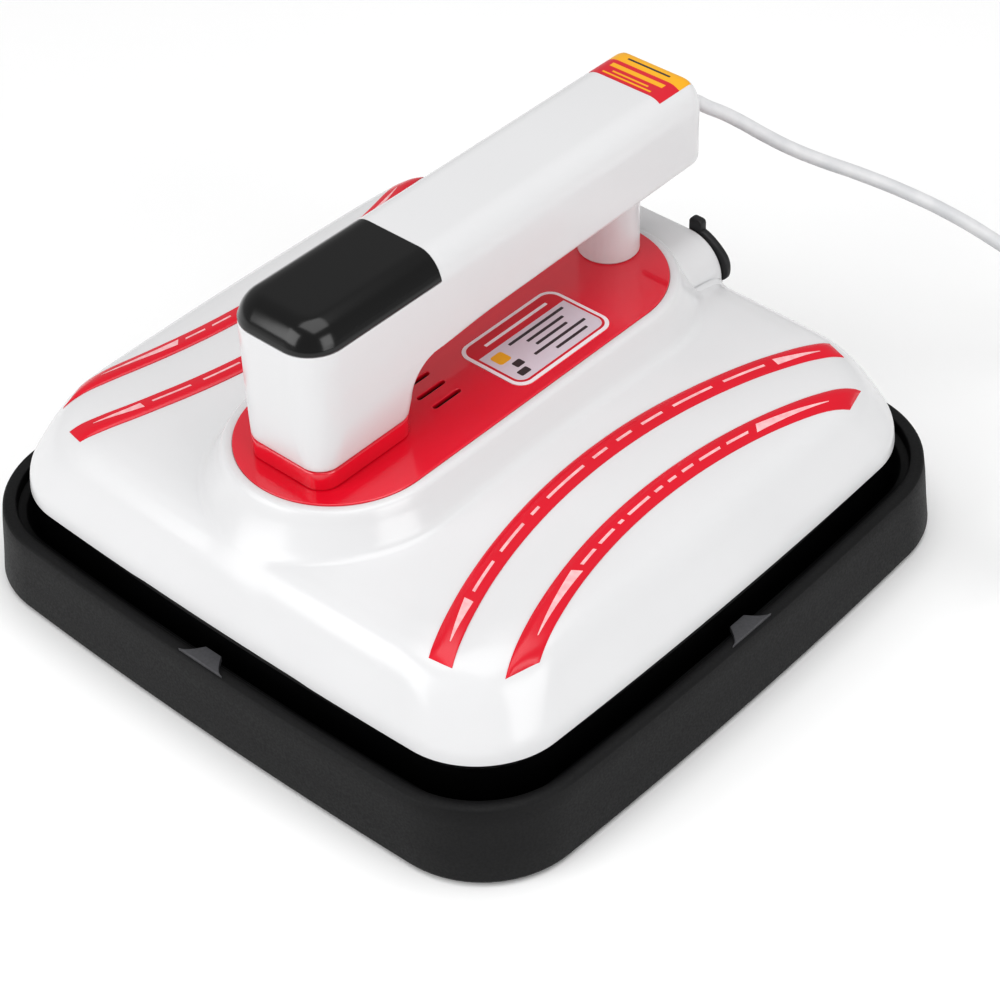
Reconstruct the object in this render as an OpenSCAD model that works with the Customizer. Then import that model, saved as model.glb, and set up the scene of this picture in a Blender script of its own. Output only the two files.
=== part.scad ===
// Portable heat press with its resting tray.
// Origin: middle of the underside. +Z up, display end of the handle towards -Y.

/* [Tray] */
// Outer width and depth of the tray
tray_w = 280; // [240:2:340]
// Height of the tray rim above the bench
tray_h = 33.5; // [30:0.5:45]
// Inward lean of each outer wall
tray_draft = 1.4; // [0.5:0.1:3]
// Corner radius of the tray at the rim
tray_r = 51; // [36:1:60]
// Width of the flat rim
rim_w = 5.4; // [4:0.2:8]
// Thickness of the tray floor
tray_floor_t = 3.5; // [2:0.5:5]
// Radius of each tray foot
foot_r = 8; // [5:0.5:12]
// Height that the feet stand out below the tray
foot_out = 1.5; // [1:0.5:3]
// Thickness of the silicone pad in the tray
pad_t = 3; // [2:0.5:5]
// Length of a locating tab along the rim
tab_l = 22; // [14:1:30]
// Height of a locating tab above the rim
tab_t = 1.2; // [0.8:0.1:2]

/* [Body] */
// Gap between the rim and the press all round
rim_gap = 5.6; // [4:0.2:8]
// Height of the gloss band between the rim and the cover
band_h = 9; // [6:0.5:14]
// Wall of the lower housing
skirt_wall = 2.5; // [2:0.25:4]
// Air gap between the hot plate and the lower housing
hot_gap = 3; // [2:0.5:5]
// Thickness of the hot plate
plate_t = 12; // [9:0.5:16]
// Thickness of the glass-fibre blanket
blanket_t = 8; // [6:0.5:12]
// Thickness of the heat shield
shield_t = 0.8; // [0.6:0.1:1.5]
// Diameter of the heating elements
element_d = 6.6; // [6:0.2:8.5]

/* [Cover] */
// Wall of the top cover
cover_wall = 2.5; // [2:0.25:3.5]
// Height of the shoulder above the cover's lower edge
shoulder_h = 30; // [26:1:33]
// Height of the dome's crown above the cover's lower edge
dome_h = 36; // [33:1:44]
// Height of the stadium boss above the crown
boss_up = 11.3; // [8:0.5:16]
// Length of the red panel
panel_l = 200; // [170:2:216]
// Width of the red panel
panel_w = 76; // [66:1:90]
// Thickness of the red panel
panel_t = 2.2; // [1.6:0.2:3]
// Width of the white lip round the panel
boss_lip = 4.5; // [3:0.5:8]
// Half width of the ridge behind the boss
ridge_w = 31; // [24:1:34]
// Number of vent slots
slot_n = 5; // [3:2:7]
// Pitch of the vent slots
slot_pitch = 7.7; // [6:0.1:9]

/* [Handle] */
// Width of the handle beam
beam_w = 44; // [36:1:52]
// Height of the handle beam
beam_h = 37; // [30:1:44]
// Distance from the display end to the middle of the press
beam_front = 92; // [80:1:100]
// Distance from the cord end to the middle of the press
beam_rear = 116.5; // [108:0.5:124]
// Finger gap between the panel and the beam
finger_gap = 31; // [28:1:44]
// Depth of the front post
post_l = 48; // [40:1:56]
// Narrowing of the front post on each side
post_inset = 2.4; // [1:0.2:4]
// Radius of the rear post
rear_post_r = 12; // [9:0.5:14]
// Place of the rear post from the middle of the press
rear_post_y = 85; // [70:1:88]
// Wall of the handle shell
handle_wall = 2.5; // [2:0.25:3.5]
// Height of the red plinth under the front post
plinth_h = 7.7; // [4:0.1:10]
// Length of the display cover
display_l = 63; // [50:1:70]
// Depth of the display cover below the beam's top
display_h = 10; // [8:0.5:14]

/* [Cord] */
// Diameter of the mains cord
cord_d = 5.6; // [5:0.2:7.2]
// Radius of the middle of the coil
coil_r = 32; // [30:1:33]
// Length of the cord's strain relief
relief_l = 20; // [16:1:26]
// Downward slope of the cord's exit
exit_slope = 35; // [20:1:40]

/* [Power switch] */
// Width of the rocker
rocker_w = 13; // [10:0.5:16]
// Length of the rocker
rocker_l = 9; // [8:0.5:11]
// Clearance between the rocker and its housing
rocker_gap = 0.4; // [0.35:0.05:0.6]

/* [Hidden] */

$fn = 64;
e = 0.01;
rest_gap = 0.3;
half = tray_w / 2;
rim_half = half - tray_draft;
press_half = rim_half - rim_w - rim_gap;

tray_under = foot_out;
floor_top = tray_under + tray_floor_t;
pad_top = floor_top + pad_t;
well_half = press_half + 1.5;
pad_half = press_half - 12;
foot_pocket = 1.5;
foot_at = half - 48;
tab_in = 2.8;

plate_z = pad_top + rest_gap;
plate_half = press_half - skirt_wall - hot_gap;
plate_r = 30;
cutout_x = 40;
plate_top = plate_z + plate_t;
blanket_half = plate_half - 3;
blanket_top = plate_top + blanket_t;
shield_top = blanket_top + shield_t;
standoff_r = 4;
standoff_at = 72;
screw_r = 2;
head_r = 3.8;
head_h = 2.4;
element_r = element_d / 2;
outer_loop = 96;
inner_loop = 48;
loop_r = 22;
terminal_x = 10;
terminal_up = 9;

edge_z = tray_h + band_h;
skirt_z = plate_z + 7;
skirt_half = press_half - 0.5;
flange_t = 3;
flange_w = 16;
lip_h = 4;
lip_half = press_half - cover_wall - 2.9;
cover_r = 35;

crown_z = edge_z + dome_h;
boss_top = crown_z + boss_up;
panel_z = boss_top - panel_t + 0.5;
panel_top = panel_z + panel_t;
panel_r = panel_w / 2;
boss_r = panel_r + boss_lip;
boss_flare = 7;
ridge_r = 16;
ridge_end = press_half - 10.5;
ridge_top = boss_top - 1.5;
rest_t = 3.5;
rest_out = 2.6;
lug_x = 17;
lug_w = 7;
lug_h = 4.5;
slot_w = 2;
slot_l = 14;
slot_y = -23;
label_w = 33;
label_l = 52;
label_r = 6;
label_t = 0.4;
label_x = 16.5;
label_y = 24;

stripe_w = 8.6;
stripe_t = 1.9;
stripe_pocket = 0.8;

beam_z = panel_top + finger_gap;
beam_top = beam_z + beam_h;
beam_half = beam_w / 2;
front_r = 14;
rear_r = 8;
post_half = beam_half - post_inset;
post_front = beam_front - 2;
post_back = post_front - post_l;
post_r = 8;
arch_r = 13;
plinth_wall = 4;
under_t = 3;
bolt_r = 2.5;
bolt_head_r = 4.5;
bolt_head_h = 3.5;
front_bolt_y = -(post_front - post_l / 2);
web_t = 4;
web_z = panel_top + 14;
nut_r = 4.4;
nut_h = 4;
display_wall = 2;

exit_z = beam_z + 23;
// The strain relief's sleeve is this wide where it fills the hole in the handle's end
relief_r = 5;
rocker_z = beam_z + 9;
rocker_in = 1.5;
rocker_side = 1.4;
housing_d = 13;
housing_rim = 1.2;
housing_lip = 0.8;

board_z = shield_top + 12;
board_t = 1.6;
board_w = 90;
board_l = 100;
board_y = -30;
board_leg_r = 3;
board_leg_in = 5;
probe_hole_r = 8;
cutout_hole_r = 11;
relay_size = [19, 16, 15];
fuse_size = [22, 7, 6];
block_size = [40, 14, 12];
block_y = 52;
lead_stop = 8;
lead_r = 2.2;
lead_y = rear_post_y - 7;
lead_z = board_z + board_t + 8;
disp_z = beam_top - 13;
board_half = beam_half - handle_wall - 1.5;
module_size = [28, 16, 6];
spring_r = 2.5;
spring_pitch = 7;
buzzer_r = 5;
buzzer_h = 7;
ribbon_w = 6;
ribbon_t = 1.2;
ribbon_back = 11.4;

relief_in = 6;
clamp_y = beam_rear - 24;
clamp_z = exit_z + 5;
clamp_size = [16, 6];
exit_dir = [0, cos(exit_slope), -sin(exit_slope)];
relief_end = [0, beam_rear, exit_z] + relief_l * exit_dir;
coil_at = [196, 247.6];
coil_wide = 2 * cord_d + 0.1;
coil_tall = 1.9 * cord_d;
tie_w = 5;
plug_r = 18;
plug_neck = 14;
plug_body = 26;
plug_cone = 12;
pin_r = 2.4;
pin_l = 19;
pin_x = 9.5;

// ---------- outlines ----------

// Arc of n steps about c
function arc(c, r, a0, a1, n) = [for (i = [0 : n])
    let (a = a0 + (a1 - a0) * i / n) c + r * [cos(a), sin(a)]];

// Rounded rectangle with its own radius at the front (-Y) and at the rear
function round_box(x, y0, y1, rf, rr, n = 6) = concat(
    arc([-x + rf, y0 + rf], rf, 180, 270, n), arc([x - rf, y0 + rf], rf, 270, 360, n),
    arc([x - rr, y1 - rr], rr, 0, 90, n), arc([-x + rr, y1 - rr], rr, 90, 180, n));

function round_square(h, r, n = 8) = round_box(h, -h, h, r, r, n);

// Closed loft through rings of equal point counts; each ring is a list of 3-D points
module loft(rings) {
    n = len(rings[0]);
    m = len(rings);
    pts = [for (r = rings) for (p = r) p];
    sides = [for (k = [0 : m - 2]) for (i = [0 : n - 1])
        let (a = k * n + i, b = k * n + (i + 1) % n) each [[a, a + n, b + n], [a, b + n, b]]];
    polyhedron(pts, concat([[for (i = [0 : n - 1]) i]], sides, [[for (i = [0 : n - 1]) m * n - 1 - i]]));
}

function lift(outline, z) = [for (p = outline) [p[0], p[1], z]];

// Flat square with true round corners
module square_plate(h, r, t) {
    linear_extrude(t) {
        square([2 * h, 2 * (h - r)], center = true);
        square([2 * (h - r), 2 * h], center = true);
        for (x = [-1, 1], y = [-1, 1]) translate([x * (h - r), y * (h - r)]) circle(r);
    }
}

module stadium(l, w, t) {
    linear_extrude(t) {
        square([w, l - w], center = true);
        for (y = [-1, 1]) translate([0, y * (l - w) / 2]) circle(w / 2);
    }
}

module at_corners(d) {
    for (x = [-1, 1], y = [-1, 1]) translate([x * d, y * d, 0]) children();
}

// ---------- tray ----------

module base_tray() {
    color("#35353a") difference() {
        loft([lift(round_square(half - 1, tray_r - 11), tray_under),
              lift(round_square(half, tray_r - 10), tray_under + 1.5),
              lift(round_square(rim_half, tray_r), tray_h - 0.6),
              lift(round_square(rim_half - 0.6, tray_r - 0.6), tray_h)]);
        translate([0, 0, floor_top])
            square_plate(well_half, tray_r - 16, tray_h);
        translate([0, 0, tray_h - 5])
            square_plate(rim_half - rim_w, tray_r - rim_w, tray_h);
        at_corners(foot_at) translate([0, 0, tray_under - e])
            cylinder(r = foot_r, h = foot_pocket + e);
        locating_tab_ring();
    }
}

// One tab lies in the rim and reaches inwards; -Y side before turning
module locating_tab() {
    y0 = -rim_half + 1.2;
    y1 = -rim_half + rim_w + tab_in;
    translate([0, 0, tray_h - 1])
        linear_extrude(1 + tab_t)
            polygon(concat([[-tab_l / 2, y0], [tab_l / 2, y0]],
                arc([tab_l / 2, y1 + 0.6], y1 - y0 - 0.4, 270, 200, 4),
                arc([-tab_l / 2, y1 + 0.6], y1 - y0 - 0.4, 340, 270, 4)));
}

module locating_tab_ring() {
    for (a = [0 : 90 : 270]) rotate([0, 0, a]) locating_tab();
}

module locating_tabs() {
    color("#47474c") locating_tab_ring();
}

module tray_heat_pad() {
    color("#5a2a22") translate([0, 0, floor_top]) square_plate(pad_half, plate_r, pad_t);
}

module tray_feet() {
    color("#202022") at_corners(foot_at) cylinder(r = foot_r, h = tray_under + foot_pocket);
}

// ---------- hot plate stack ----------

// Round bar bent into an open square loop with two raised terminals at the -Y side
module element_loop(h, r, up) {
    z = plate_top - element_r;
    s = h - loop_r;
    translate([0, 0, z]) {
        for (x = [-1, 1]) {
            translate([x * h, 0, 0]) rotate([90, 0, 0]) cylinder(r = r, h = 2 * s, center = true);
            translate([x * s, -h, 0]) rotate([0, -90 * x, 0]) cylinder(r = r, h = s - terminal_x);
            translate([x * terminal_x, -h, -r]) cylinder(r = r, h = r + element_r + up);
        }
        translate([0, h, 0]) rotate([0, 90, 0]) cylinder(r = r, h = 2 * s, center = true);
        for (a = [0 : 90 : 270]) rotate([0, 0, a]) translate([s, s, 0])
            rotate_extrude(angle = 90) translate([loop_r, 0]) circle(r);
    }
}

// Open-topped channel that the loop lies in
module element_channel(h) {
    z = plate_top - element_r;
    s = h - loop_r;
    element_loop(h, element_r, 1);
    translate([0, 0, z]) linear_extrude(element_r + 1) {
        for (x = [-1, 1]) {
            translate([x * h, 0]) square([element_d, 2 * s], center = true);
            translate([x * (s + terminal_x) / 2, -h]) square([s - terminal_x, element_d], center = true);
            translate([x * terminal_x, -h]) circle(element_r);
        }
        translate([0, h]) square([2 * s, element_d], center = true);
        for (x = [-1, 1], y = [-1, 1]) translate([x * s, y * s]) intersection() {
            difference() {
                circle(loop_r + element_r);
                circle(loop_r - element_r);
            }
            translate([x > 0 ? 0 : -h, y > 0 ? 0 : -h]) square(h);
        }
    }
}

module heating_plate() {
    color("#9a9da1") difference() {
        translate([0, 0, plate_z]) square_plate(plate_half, plate_r, plate_t);
        element_channel(outer_loop);
        element_channel(inner_loop);
        at_corners(standoff_at) translate([0, 0, plate_top - 7]) cylinder(r = screw_r, h = 8);
        translate([0, 0, plate_top - 5]) cylinder(r = 2.5, h = 6);
    }
}

module heating_element_outer() {
    color("#7d7468") element_loop(outer_loop, element_r, blanket_t + shield_t + terminal_up);
}

module heating_element_inner() {
    color("#7d7468") element_loop(inner_loop, element_r, blanket_t + shield_t + terminal_up);
}

// Holes that the stack above the plate shares
module stack_holes(gap) {
    at_corners(standoff_at) cylinder(r = standoff_r + gap, h = 60);
    for (x = [-1, 1], h = [outer_loop, inner_loop]) translate([x * terminal_x, -h, 0])
        cylinder(r = element_r + gap + 1, h = 60);
    translate([cutout_x, 0, 0]) cylinder(r = 10 + gap, h = 60);
    cylinder(r = 3 + gap, h = 60);
    cover_screw_places() cylinder(r = 3.2 + gap, h = 60);
}

module insulation_blanket() {
    color("#e9e4d2") difference() {
        translate([0, 0, plate_top]) square_plate(blanket_half, plate_r, blanket_t);
        stack_holes(0.4);
    }
}

module heat_shield() {
    color("#b9bcc0") difference() {
        translate([0, 0, blanket_top]) square_plate(plate_half, plate_r, shield_t);
        difference() {
            stack_holes(0.5);
            at_corners(standoff_at) cylinder(r = standoff_r + 1, h = 60);
        }
        at_corners(standoff_at) cylinder(r = screw_r, h = 60);
        shield_screw_places() cylinder(r = 1.5, h = 60);
    }
}

module plate_standoffs() {
    color("#8d9094") at_corners(standoff_at) difference() {
        translate([0, 0, plate_top]) cylinder(r = standoff_r, h = blanket_t);
        translate([0, 0, plate_top - 1]) cylinder(r = screw_r, h = blanket_t + 2);
    }
}

module plate_screws() {
    color("#6f7276") at_corners(standoff_at) {
        translate([0, 0, plate_top - 6]) cylinder(r = screw_r, h = 6 + blanket_t + shield_t);
        translate([0, 0, shield_top]) cylinder(r = head_r, h = head_h);
    }
}

module thermal_cutout() {
    color("#2b2b2b") translate([cutout_x, 0, plate_top]) {
        cylinder(r = 8.5, h = 3);
        cylinder(r = 7, h = blanket_t + 4);
    }
}

module temperature_probe() {
    color("#d8d8da") translate([0, 0, plate_top - 5]) cylinder(r = 2.5, h = 5 + blanket_t + 10);
}

// ---------- housing and cover ----------

module shield_screw_places() {
    for (a = [0 : 90 : 270]) rotate([0, 0, a]) for (x = [-60, 60])
        translate([x, plate_half - 7, 0]) children();
}

// Columns between the flange and the cover, where the cover screws go
module cover_screw_places() {
    for (a = [0 : 90 : 270]) rotate([0, 0, a]) translate([0, plate_half - 8, 0]) children();
}

module lower_housing() {
    color("#101012") difference() {
        union() {
            difference() {
                translate([0, 0, skirt_z]) square_plate(skirt_half, cover_r, edge_z - skirt_z);
                translate([0, 0, skirt_z - 1])
                    square_plate(skirt_half - skirt_wall, cover_r - skirt_wall, 2 * band_h + tray_h);
            }
            difference() {
                translate([0, 0, shield_top])
                    square_plate(skirt_half - skirt_wall + e, cover_r - skirt_wall, flange_t);
                translate([0, 0, shield_top - 1])
                    square_plate(skirt_half - skirt_wall - flange_w, cover_r - flange_w, 20);
            }
            difference() {
                union() {
                    translate([0, 0, edge_z - 6]) square_plate(skirt_half - 1, cover_r - 1, 6);
                    translate([0, 0, edge_z - e])
                        square_plate(lip_half, cover_r - press_half + lip_half, lip_h);
                }
                translate([0, 0, edge_z - 7])
                    square_plate(lip_half - 2, cover_r - press_half + lip_half - 2, 40);
            }
        }
        shield_screw_places() cylinder(r = 1.5, h = 80);
        cover_screw_places() cylinder(r = 1.6, h = 80);
    }
}

module shield_screws() {
    color("#6f7276") shield_screw_places() {
        translate([0, 0, blanket_top]) cylinder(r = 1.5, h = shield_t + flange_t);
        translate([0, 0, shield_top + flange_t]) cylinder(r = 3, h = 2);
    }
}

// Outer profile of the cover: [inset, height above its edge] from the edge to the crown
dome = [[0, 0], [0.4, 3], [1.6, 6.5], [3.6, 12.5], [6, 18.5], [8.5, shoulder_h - 6.5],
    [12, shoulder_h - 2.5], [16, shoulder_h], [23, shoulder_h + 1.6], [36, shoulder_h + 2.8],
    [54, shoulder_h + 3.6], [76, dome_h - 1], [96, dome_h]];

// Corner radius of the ring that is inset by d
function dome_r(d) = min(press_half - d - 4, cover_r + d / 4);

function dome_ring(s, shrink, drop) =
    lift(round_square(press_half - s[0] - shrink, dome_r(s[0]) - shrink), edge_z + s[1] - drop);

module dome_solid(shrink, drop) {
    rim = lift(round_square(press_half - shrink, cover_r - shrink, 8), edge_z - 2);
    loft(concat(shrink > 0 ? [rim] : [],
        [for (s = dome) dome_ring(s, shrink, s[1] < shoulder_h ? drop * s[1] / shoulder_h : drop)]));
}

// How far p lies outside the ring that is inset by d
function past_ring(p, d) = let (r = dome_r(d), q = [abs(p[0]), abs(p[1])] - (press_half - d - r) * [1, 1])
    norm([max(q[0], 0), max(q[1], 0)]) + min(max(q[0], q[1]), 0) - r;

// Inset of the ring that passes through p, by halving
function inset_at(p, lo = 0, hi = 96, k = 12) = k == 0 ? (lo + hi) / 2
    : let (d = (lo + hi) / 2) past_ring(p, d) > 0 ? inset_at(p, lo, d, k - 1) : inset_at(p, d, hi, k - 1);

// Height of the dome's surface at p
function dome_z(p) = edge_z + lookup(inset_at(p), dome);

module boss_solid(shrink, drop) {
    z0 = crown_z - 9;
    loft([lift(round_box(boss_r + boss_flare - shrink, -panel_l / 2 - boss_lip - boss_flare + shrink,
            panel_l / 2 + boss_lip + boss_flare - shrink, boss_r + boss_flare - shrink - 0.2,
            boss_r + boss_flare - shrink - 0.2, 12), z0 - drop),
        lift(round_box(boss_r + 3 - shrink, -panel_l / 2 - boss_lip - 3 + shrink,
            panel_l / 2 + boss_lip + 3 - shrink, boss_r + 2.8 - shrink, boss_r + 2.8 - shrink, 12),
            boss_top - 8 - drop),
        lift(round_box(boss_r - shrink, -panel_l / 2 - boss_lip + shrink, panel_l / 2 + boss_lip - shrink,
            boss_r - 0.2 - shrink, boss_r - 0.2 - shrink, 12), boss_top - 2.5 - drop),
        lift(round_box(boss_r - 2 - shrink, -panel_l / 2 - boss_lip + 2 + shrink,
            panel_l / 2 + boss_lip - 2 - shrink, boss_r - 2.2 - shrink, boss_r - 2.2 - shrink, 12),
            boss_top - drop)]);
}

// Arched outline of the ridge, in X and Z, grown by g
module ridge_outline(g) {
    r = ridge_r + g;
    x = ridge_w - ridge_r;
    z = ridge_top - ridge_r;
    translate([-x, z - 20]) square([2 * x, 20 + r]);
    for (s = [-1, 1]) translate([s * x, z]) circle(r);
    translate([-x - r, z - 20]) square([2 * (x + r), 20]);
}

module ridge_solid(g, y0, y1) {
    translate([0, y1, 0]) rotate([90, 0, 0]) linear_extrude(y1 - y0) ridge_outline(g);
}

module bolt_places() {
    translate([0, front_bolt_y, 0]) children();
    translate([0, rear_post_y, 0]) children();
}

module vent_slots(t) {
    for (i = [0 : slot_n - 1]) translate([(i - (slot_n - 1) / 2) * slot_pitch, slot_y, 0])
        translate([-slot_w / 2, -slot_l / 2, 0]) cube([slot_w, slot_l, t]);
}

// Hole for the leads that go down each post
module lead_holes(t) {
    translate([0, front_bolt_y + 12, 0]) cylinder(r = 4, h = t);
    translate([0, lead_y, 0]) cylinder(r = lead_r + 0.2, h = t);
}

module top_cover() {
    color("#f2f2f2") difference() {
        union() {
            difference() {
                dome_solid(0, 0);
                for (i = [0 : 3]) stripe_space(i);
            }
            boss_solid(0, 0);
            ridge_solid(0, panel_l / 2 - 20, ridge_end);
        }
        dome_solid(cover_wall, cover_wall);
        boss_solid(cover_wall, cover_wall + panel_t);
        ridge_solid(-cover_wall, panel_l / 2 - 24, ridge_end - cover_wall);
        translate([0, 0, panel_z]) stadium(panel_l + 0.2, panel_w + 0.2, 20);
        translate([0, 0, crown_z]) {
            bolt_places() cylinder(r = bolt_r, h = 30);
            vent_slots(30);
            lead_holes(30);
        }
    }
    color("#f2f2f2") cover_posts();
}

// Screw posts inside the cover
module cover_posts() {
    post_foot = shield_top + flange_t;
    cover_screw_places() difference() {
        translate([0, 0, post_foot]) cylinder(r = 4, h = dome_z([0, plate_half - 4]) - post_foot - 2);
        cylinder(r = 1.6, h = edge_z);
    }
}

module cover_screws() {
    color("#6f7276") cover_screw_places() {
        translate([0, 0, shield_top - 2.2]) cylinder(r = 3, h = 2.2);
        translate([0, 0, shield_top]) cylinder(r = 1.6, h = flange_t + 9);
    }
}

// The four stripes: [side, radius of the middle line, its least X, half length, rake of the ends]
stripes = [[1, 252, 66.2, 108.5, -2], [1, 238, 93.6, 97, 12],
    [-1, 252, 66.2, 108.5, -2], [-1, 238, 93.6, 97, 12]];

// Column with the curved outline of stripe i
module stripe_column(i) {
    s = stripes[i];
    a = asin(s[3] / s[1]);
    c = [s[2] + s[1], 0];
    near = arc(c, s[1] + stripe_w / 2, 180 - a, 180 + a, 14);
    far = arc(c, s[1] - stripe_w / 2, 180 + a - s[4] / 5, 180 - a + s[4] / 5, 14);
    mirror([s[0] < 0 ? 1 : 0, 0, 0]) linear_extrude(crown_z + 20) polygon(concat(near, far));
}

// Space over the pocket floor of stripe i
module stripe_space(i) {
    difference() {
        stripe_column(i);
        translate([0, 0, -stripe_pocket]) dome_solid(0, 0);
    }
}

module stripe(i) {
    color("#d3102b") intersection() {
        stripe_space(i);
        translate([0, 0, stripe_t - stripe_pocket]) dome_solid(0, 0);
    }
}

module stripe_right_inner() { stripe(0); }
module stripe_right_outer() { stripe(1); }
module stripe_left_inner() { stripe(2); }
module stripe_left_outer() { stripe(3); }

module boss_panel() {
    color("#c0182c") difference() {
        translate([0, 0, panel_z]) stadium(panel_l, panel_w, panel_t);
        translate([0, 0, panel_z - 1]) {
            bolt_places() cylinder(r = bolt_r, h = 30);
            vent_slots(30);
            lead_holes(30);
        }
    }
}

module spec_label() {
    color("#e6e2e4") translate([label_x, label_y, panel_top])
        linear_extrude(label_t)
            polygon(round_box(label_w / 2, -label_l / 2, label_l / 2, label_r, label_r, 6));
}

// Moulded rest on the ridge's rear end: a back plate, a pad round each shoulder, two lugs
module rear_rest() {
    color("#141416") {
        difference() {
            ridge_solid(0, ridge_end, ridge_end + rest_t);
            translate([-ridge_w - 1, ridge_end - 1, 0])
                cube([2 * ridge_w + 2, rest_t + 2, dome_z([0, ridge_end])]);
        }
        difference() {
            ridge_solid(rest_out, ridge_end + e, ridge_end + rest_t);
            ridge_solid(-1, ridge_end - 1, ridge_end + rest_t + 1);
            translate([-lug_x, ridge_end - 1, ridge_top - 6]) cube([2 * lug_x, rest_t + 2, 20]);
            translate([-50, ridge_end - 1, 0]) cube([100, rest_t + 2, ridge_top - ridge_r - 0.5]);
        }
        for (x = [-1, 1]) translate([x * (lug_x - 1), ridge_end + rest_t, ridge_top - 5]) difference() {
            translate([-lug_w / 2, -rest_t, 0]) cube([lug_w, rest_t, 5 + lug_h]);
            translate([0, 1, 5 + lug_h / 2]) rotate([90, 0, 0]) cylinder(r = 1.2, h = rest_t + 2);
        }
    }
}

// ---------- electrics under the cover ----------

module terminal_block() {
    color("#d9d2c0") difference() {
        translate([-block_size[0] / 2, block_y, board_z + board_t]) cube(block_size);
        translate([0, block_y + lead_stop, lead_z])
            rotate([-90, 0, 0]) cylinder(r = lead_r, h = block_size[1]);
    }
}

module power_board() {
    color("#2f6b3f") {
        difference() {
            translate([-board_w / 2, board_y, board_z]) cube([board_w, board_l, board_t]);
            translate([0, 0, board_z - 1]) cylinder(r = probe_hole_r, h = board_t + 2);
            translate([cutout_x, 0, board_z - 1]) cylinder(r = cutout_hole_r, h = board_t + 2);
        }
        for (x = [-1, 1], y = [board_leg_in, board_l - board_leg_in])
            translate([x * (board_w / 2 - board_leg_in), board_y + y, shield_top])
                cylinder(r = board_leg_r, h = board_z - shield_top + e);
    }
}

module power_relay() {
    color("#1f3f8a") translate([-38, 20, board_z + board_t]) cube(relay_size);
}

module mains_fuse() {
    color("#cfd4d6") translate([10, 30, board_z + board_t]) cube(fuse_size);
}

// ---------- handle ----------

function beam_plan(inset, rf, rr) = round_box(beam_half - inset, -beam_front + inset, beam_rear - inset,
    max(2, rf - inset), max(2, rr - inset), 6);

// Solid of the beam: round lower edges, broad round top edges
module beam_solid(s) {
    w = s;
    loft([lift(beam_plan(w + 4, front_r, rear_r), beam_z + s),
        lift(beam_plan(w + 1.4, front_r, rear_r), beam_z + s + 1.6),
        lift(beam_plan(w, front_r, rear_r), beam_z + s + 5),
        lift(beam_plan(w, front_r, rear_r), beam_top - 12),
        lift(beam_plan(w + 0.9, front_r, rear_r), beam_top - 7.5 - s * 0.4),
        lift(beam_plan(w + 3, front_r, rear_r), beam_top - 3.2 - s * 0.8),
        lift(beam_plan(w + 6, front_r, rear_r), beam_top - 0.9 - s),
        lift(beam_plan(w + 10, front_r, rear_r), beam_top - s)]);
}

module post_solid(s) {
    x = post_half - s;
    y0 = -post_front + s;
    y1 = -post_back - s;
    z0 = panel_top + plinth_h;
    loft([lift(round_box(x, y0, y1, post_r - s, post_r - s, 6), z0 - (s > 0 ? 1 : 0)),
        lift(round_box(x + post_inset - 0.4, y0 - 1.6, y1, front_r - 3 - s, post_r - s, 6), beam_z + 8)]);
}

module arch_web(s) {
    difference() {
        translate([-post_half + s, -post_back - 2 * s - 1, beam_z - arch_r + 2 * s])
            cube([2 * (post_half - s), arch_r + 1, arch_r + 4]);
        translate([0, -post_back - s + arch_r, beam_z - arch_r])
            rotate([0, 90, 0]) cylinder(r = arch_r + s, h = 80, center = true);
    }
}

module display_seat() {
    translate([-beam_w, -beam_front - 10, beam_top - display_h])
        cube([2 * beam_w, display_l + 10, beam_h]);
}

module handle_shell() {
    color("#f4f4f4") difference() {
        union() {
            beam_solid(0);
            post_solid(0);
            arch_web(0);
        }
        difference() {
            union() {
                beam_solid(handle_wall);
                post_solid(handle_wall);
            }
            translate([-40, -post_front - 5, web_z]) cube([80, post_l + 5, web_t]);
            arch_web(0);
        }
        display_seat();
        under_plate(1);
        bolt_hole_in_web();
        translate([0, rear_post_y, beam_z - 1]) cylinder(r = rear_post_r - 2, h = 6);
        exit_axis(-8) cylinder(r = relief_r + 0.1, h = 16);
        rocker_opening();
    }
}

module bolt_hole_in_web() {
    translate([0, front_bolt_y, web_z - 1]) cylinder(r = bolt_r, h = web_t + 2);
    translate([0, front_bolt_y + 12, web_z - 1]) cylinder(r = 4, h = web_t + 2);
}

module under_plate(deeper) {
    y0 = -post_back + arch_r + 4;
    y1 = beam_rear - housing_d - 4;
    translate([-beam_half + 6, y0, beam_z - deeper]) cube([beam_w - 12, y1 - y0, under_t + deeper]);
}

module handle_underside() {
    color("#efefef") difference() {
        under_plate(0);
        translate([0, rear_post_y, beam_z - 1]) cylinder(r = bolt_r, h = 10);
        translate([0, lead_y, beam_z - 1]) cylinder(r = lead_r + 0.2, h = 10);
    }
}

module front_plinth() {
    color("#c0182c") difference() {
        translate([0, 0, panel_top]) linear_extrude(plinth_h)
            polygon(round_box(post_half, -post_front, -post_back, post_r, post_r));
        translate([0, 0, panel_top - 1]) linear_extrude(plinth_h + 2)
            polygon(round_box(post_half - plinth_wall, -post_front + plinth_wall, -post_back - plinth_wall,
                post_r - plinth_wall, post_r - plinth_wall));
    }
}

module rear_post() {
    color("#ececee") translate([0, rear_post_y, panel_top]) difference() {
        cylinder(r = rear_post_r, h = finger_gap);
        translate([0, 0, -1]) cylinder(r = rear_post_r - 2.5, h = finger_gap + 2);
    }
}

module handle_bolts() {
    z0 = boss_top - cover_wall - panel_t;
    color("#777a7e") {
        bolt_places() translate([0, 0, z0 - bolt_head_h]) cylinder(r = bolt_head_r, h = bolt_head_h);
        translate([0, front_bolt_y, z0 - 1]) cylinder(r = bolt_r, h = web_z + web_t + nut_h - z0 + 1);
        translate([0, rear_post_y, z0 - 1]) cylinder(r = bolt_r, h = beam_z + under_t + nut_h - z0 + 1);
    }
}

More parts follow.
